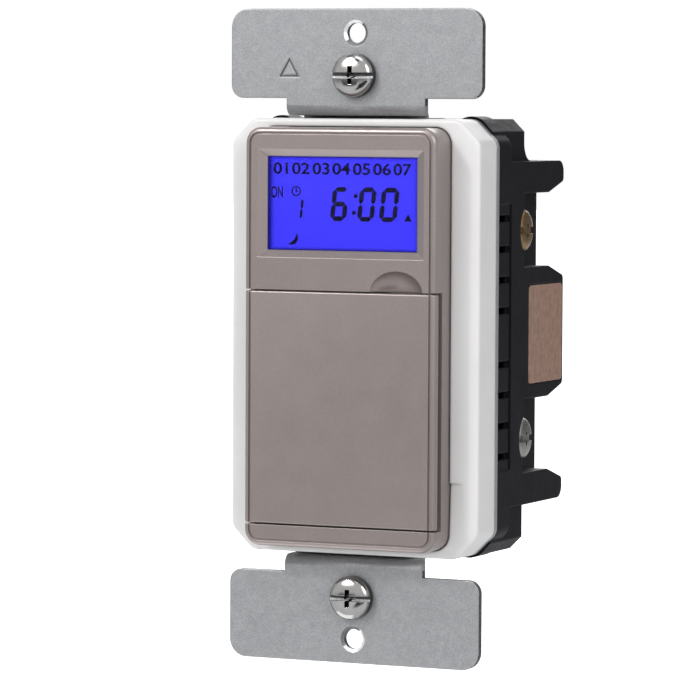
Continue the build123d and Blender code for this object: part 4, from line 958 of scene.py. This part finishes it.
# A slot has a width and depth, a cross a width, length and depth, a neck a radius and length,
# and a thread a radius, length and pitch.
thread_pitch = 0.00079375
side_slot, side_cross = (0.0011, 0.001), (0.0009, 0.0032, 0.0014)
side_neck, side_thread = (0.0017, 0.0011), (0.00206, 0.0079, thread_pitch)
side_head_seat = 0.0188
side_dome = (
    (0.0, 0.0023), (0.0009, 0.00228), (0.0018, 0.00222), (0.0025, 0.0021), (0.0029, 0.00194),
    (0.0032, 0.00168), (0.0034, 0.0013), (0.00348, 0.0009), (0.00348, 0.0), (0.0, 0.0),
)
for name, side, end, metal, slot_name in (
    ("line", 1.0, 1.0, brass, "brass"), ("neutral", 1.0, -1.0, satin_nickel, "nickel"),
    ("load", -1.0, 1.0, brass, "brass"), ("ground", -1.0, -1.0, green_zinc, "green_zinc"),
):
    sideways = Matrix((
        (0.0, 0.0, side, side * side_head_seat),
        (1.0, 0.0, 0.0, terminal_middle),
        (0.0, side, 0.0, end * terminal_height),
        (0.0, 0.0, 0.0, 1.0),
    ))
    screw = pan_screw(
        f"{name}_pan_screw", metal, metal, side_dome, side_slot, side_cross, side_neck, side_thread,
        sideways,
    )
    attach(screw, f"{name}_terminal_screw")
    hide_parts(f"{name}_screw")
    dress(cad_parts[f"{name}_terminal"], metal)
    dress(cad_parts[f"{name}_clamp"], metal)

fibre, tree, shader, place = finish("fibre washer", (0.2, 0.17, 0.14), 0.8)
mottle(tree, place, shader, 0.0006, (0.16, 0.135, 0.11), (0.25, 0.215, 0.18))
relief(tree, speckle(tree, place, 0.0002), shader, 0.00002, 0.6)
box_slot, box_cross = (0.0009, 0.0013), (0.0011, 0.004, 0.0019)
box_neck, box_thread = (0.00143, 0.00725), (0.00173, 0.0189, thread_pitch)
box_dome = (
    (0.0, 0.00238), (0.0008, 0.00236), (0.0016, 0.00229), (0.0023, 0.00218), (0.00285, 0.002),
    (0.0032, 0.00178), (0.00342, 0.00148), (0.00351, 0.00113), (0.00353, 0.0007), (0.00353, 0.0),
    (0.0, 0.0),
)
box_screw_height = 0.04167
for name, end in (("top", 1.0), ("bottom", -1.0)):
    forwards = Matrix((
        (1.0, 0.0, 0.0, 0.0),
        (0.0, 0.0, -1.0, ear_front),
        (0.0, 1.0, 0.0, end * box_screw_height),
        (0.0, 0.0, 0.0, 1.0),
    ))
    screw = pan_screw(
        f"{name}_captive_pan_screw", nickel, screw_shade_paint, box_dome, box_slot, box_cross, box_neck,
        box_thread, forwards,
    )
    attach(screw, f"{name}_captive_screw")
    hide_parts(f"{name}_box_screw")
    dress(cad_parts[f"{name}_screw_washer"], fibre)
dress(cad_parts["assembly_screws"], nickel)

# Control board and power board: green glass-fibre boards, each with its parts, a sheet of
# grey fish paper between them and the relay with its coil and armature under a blue cover.
board, tree, shader, place = finish("green board", (0.02, 0.11, 0.045), 0.35)
mottle(
    tree, place, shader, 0.0012, (0.014, 0.085, 0.035), (0.03, 0.15, 0.06), (0.45, 0.5),
    detail=1.0, stretch=(1.0, 1.0, 0.35),
)
relief(tree, speckle(tree, place, 0.0005), shader, 0.00001, 0.4)
sheet, tree, shader, place = finish("fish paper", (0.22, 0.22, 0.2), 0.75)
mottle(tree, place, shader, 0.001, (0.19, 0.19, 0.175), (0.26, 0.26, 0.24))
relief(tree, speckle(tree, place, 0.0003), shader, 0.00001, 0.5)
case, tree, shader, place = finish("relay cover", (0.02, 0.055, 0.12), 0.3)
mottle(tree, place, shader, 0.003, (0.016, 0.045, 0.1), (0.026, 0.066, 0.14))
relief(tree, speckle(tree, place, 0.0004), shader, 0.000008, 0.4)
winding_copper, tree, shader, place = finish("enamelled wire", (0.45, 0.18, 0.07), 0.3, 1.0)
wire_turns = stripes(tree, place, "Z", 1200.0)
shades(tree, wire_turns, (
    (0.2, (0.25, 0.085, 0.03)), (0.8, (0.52, 0.22, 0.09)),
), shader.inputs["Base Color"])
relief(tree, wire_turns, shader, 0.00005)
steel, tree, shader, place = finish("bright steel", (0.45, 0.45, 0.46), 0.32, 1.0)
spread(tree, speckle(tree, place, 0.0006, 3.0, (1.0, 1.0, 6.0)), 0.26, 0.42, shader.inputs["Roughness"])
relief(tree, speckle(tree, place, 0.0004, 3.0, (1.0, 1.0, 6.0)), shader, 0.00001, 0.4)
yellow_case, tree, shader, place = finish("capacitor case", (0.5, 0.28, 0.04), 0.4)
mottle(tree, place, shader, 0.002, (0.45, 0.245, 0.032), (0.56, 0.32, 0.05))
relief(tree, speckle(tree, place, 0.0004), shader, 0.00001, 0.4)
can, tree, shader, place = finish("capacitor sleeve", (0.015, 0.02, 0.045), 0.3)
mottle(tree, place, shader, 0.002, (0.012, 0.016, 0.038), (0.02, 0.026, 0.055))
disc, tree, shader, place = finish("varistor coating", (0.03, 0.1, 0.3), 0.35)
mottle(tree, place, shader, 0.0015, (0.025, 0.085, 0.26), (0.04, 0.12, 0.35))
relief(tree, speckle(tree, place, 0.0006), shader, 0.00003, 0.5)
lacquer, tree, shader, place = finish("resistor lacquer", (0.45, 0.36, 0.24), 0.4)
shades(tree, stripes(tree, place, "X", 180.0), (
    (0.1, (0.12, 0.04, 0.03)), (0.3, (0.45, 0.36, 0.24)),
), shader.inputs["Base Color"])
for node, material in (
    ("control_board", board), ("power_board", board), ("tact_switches", black), ("battery_cup", black),
    ("backup_battery", steel), ("control_chips", black), ("board_header", black), ("insulating_sheet", sheet),
    ("relay_cover", case), ("relay_coil", winding_copper), ("relay_armature", steel),
    ("film_capacitor", yellow_case), ("electrolytic_capacitor", can), ("varistor", disc),
    ("resistors", lacquer),
):
    dress(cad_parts[node], material)

bpy.context.view_layer.update()
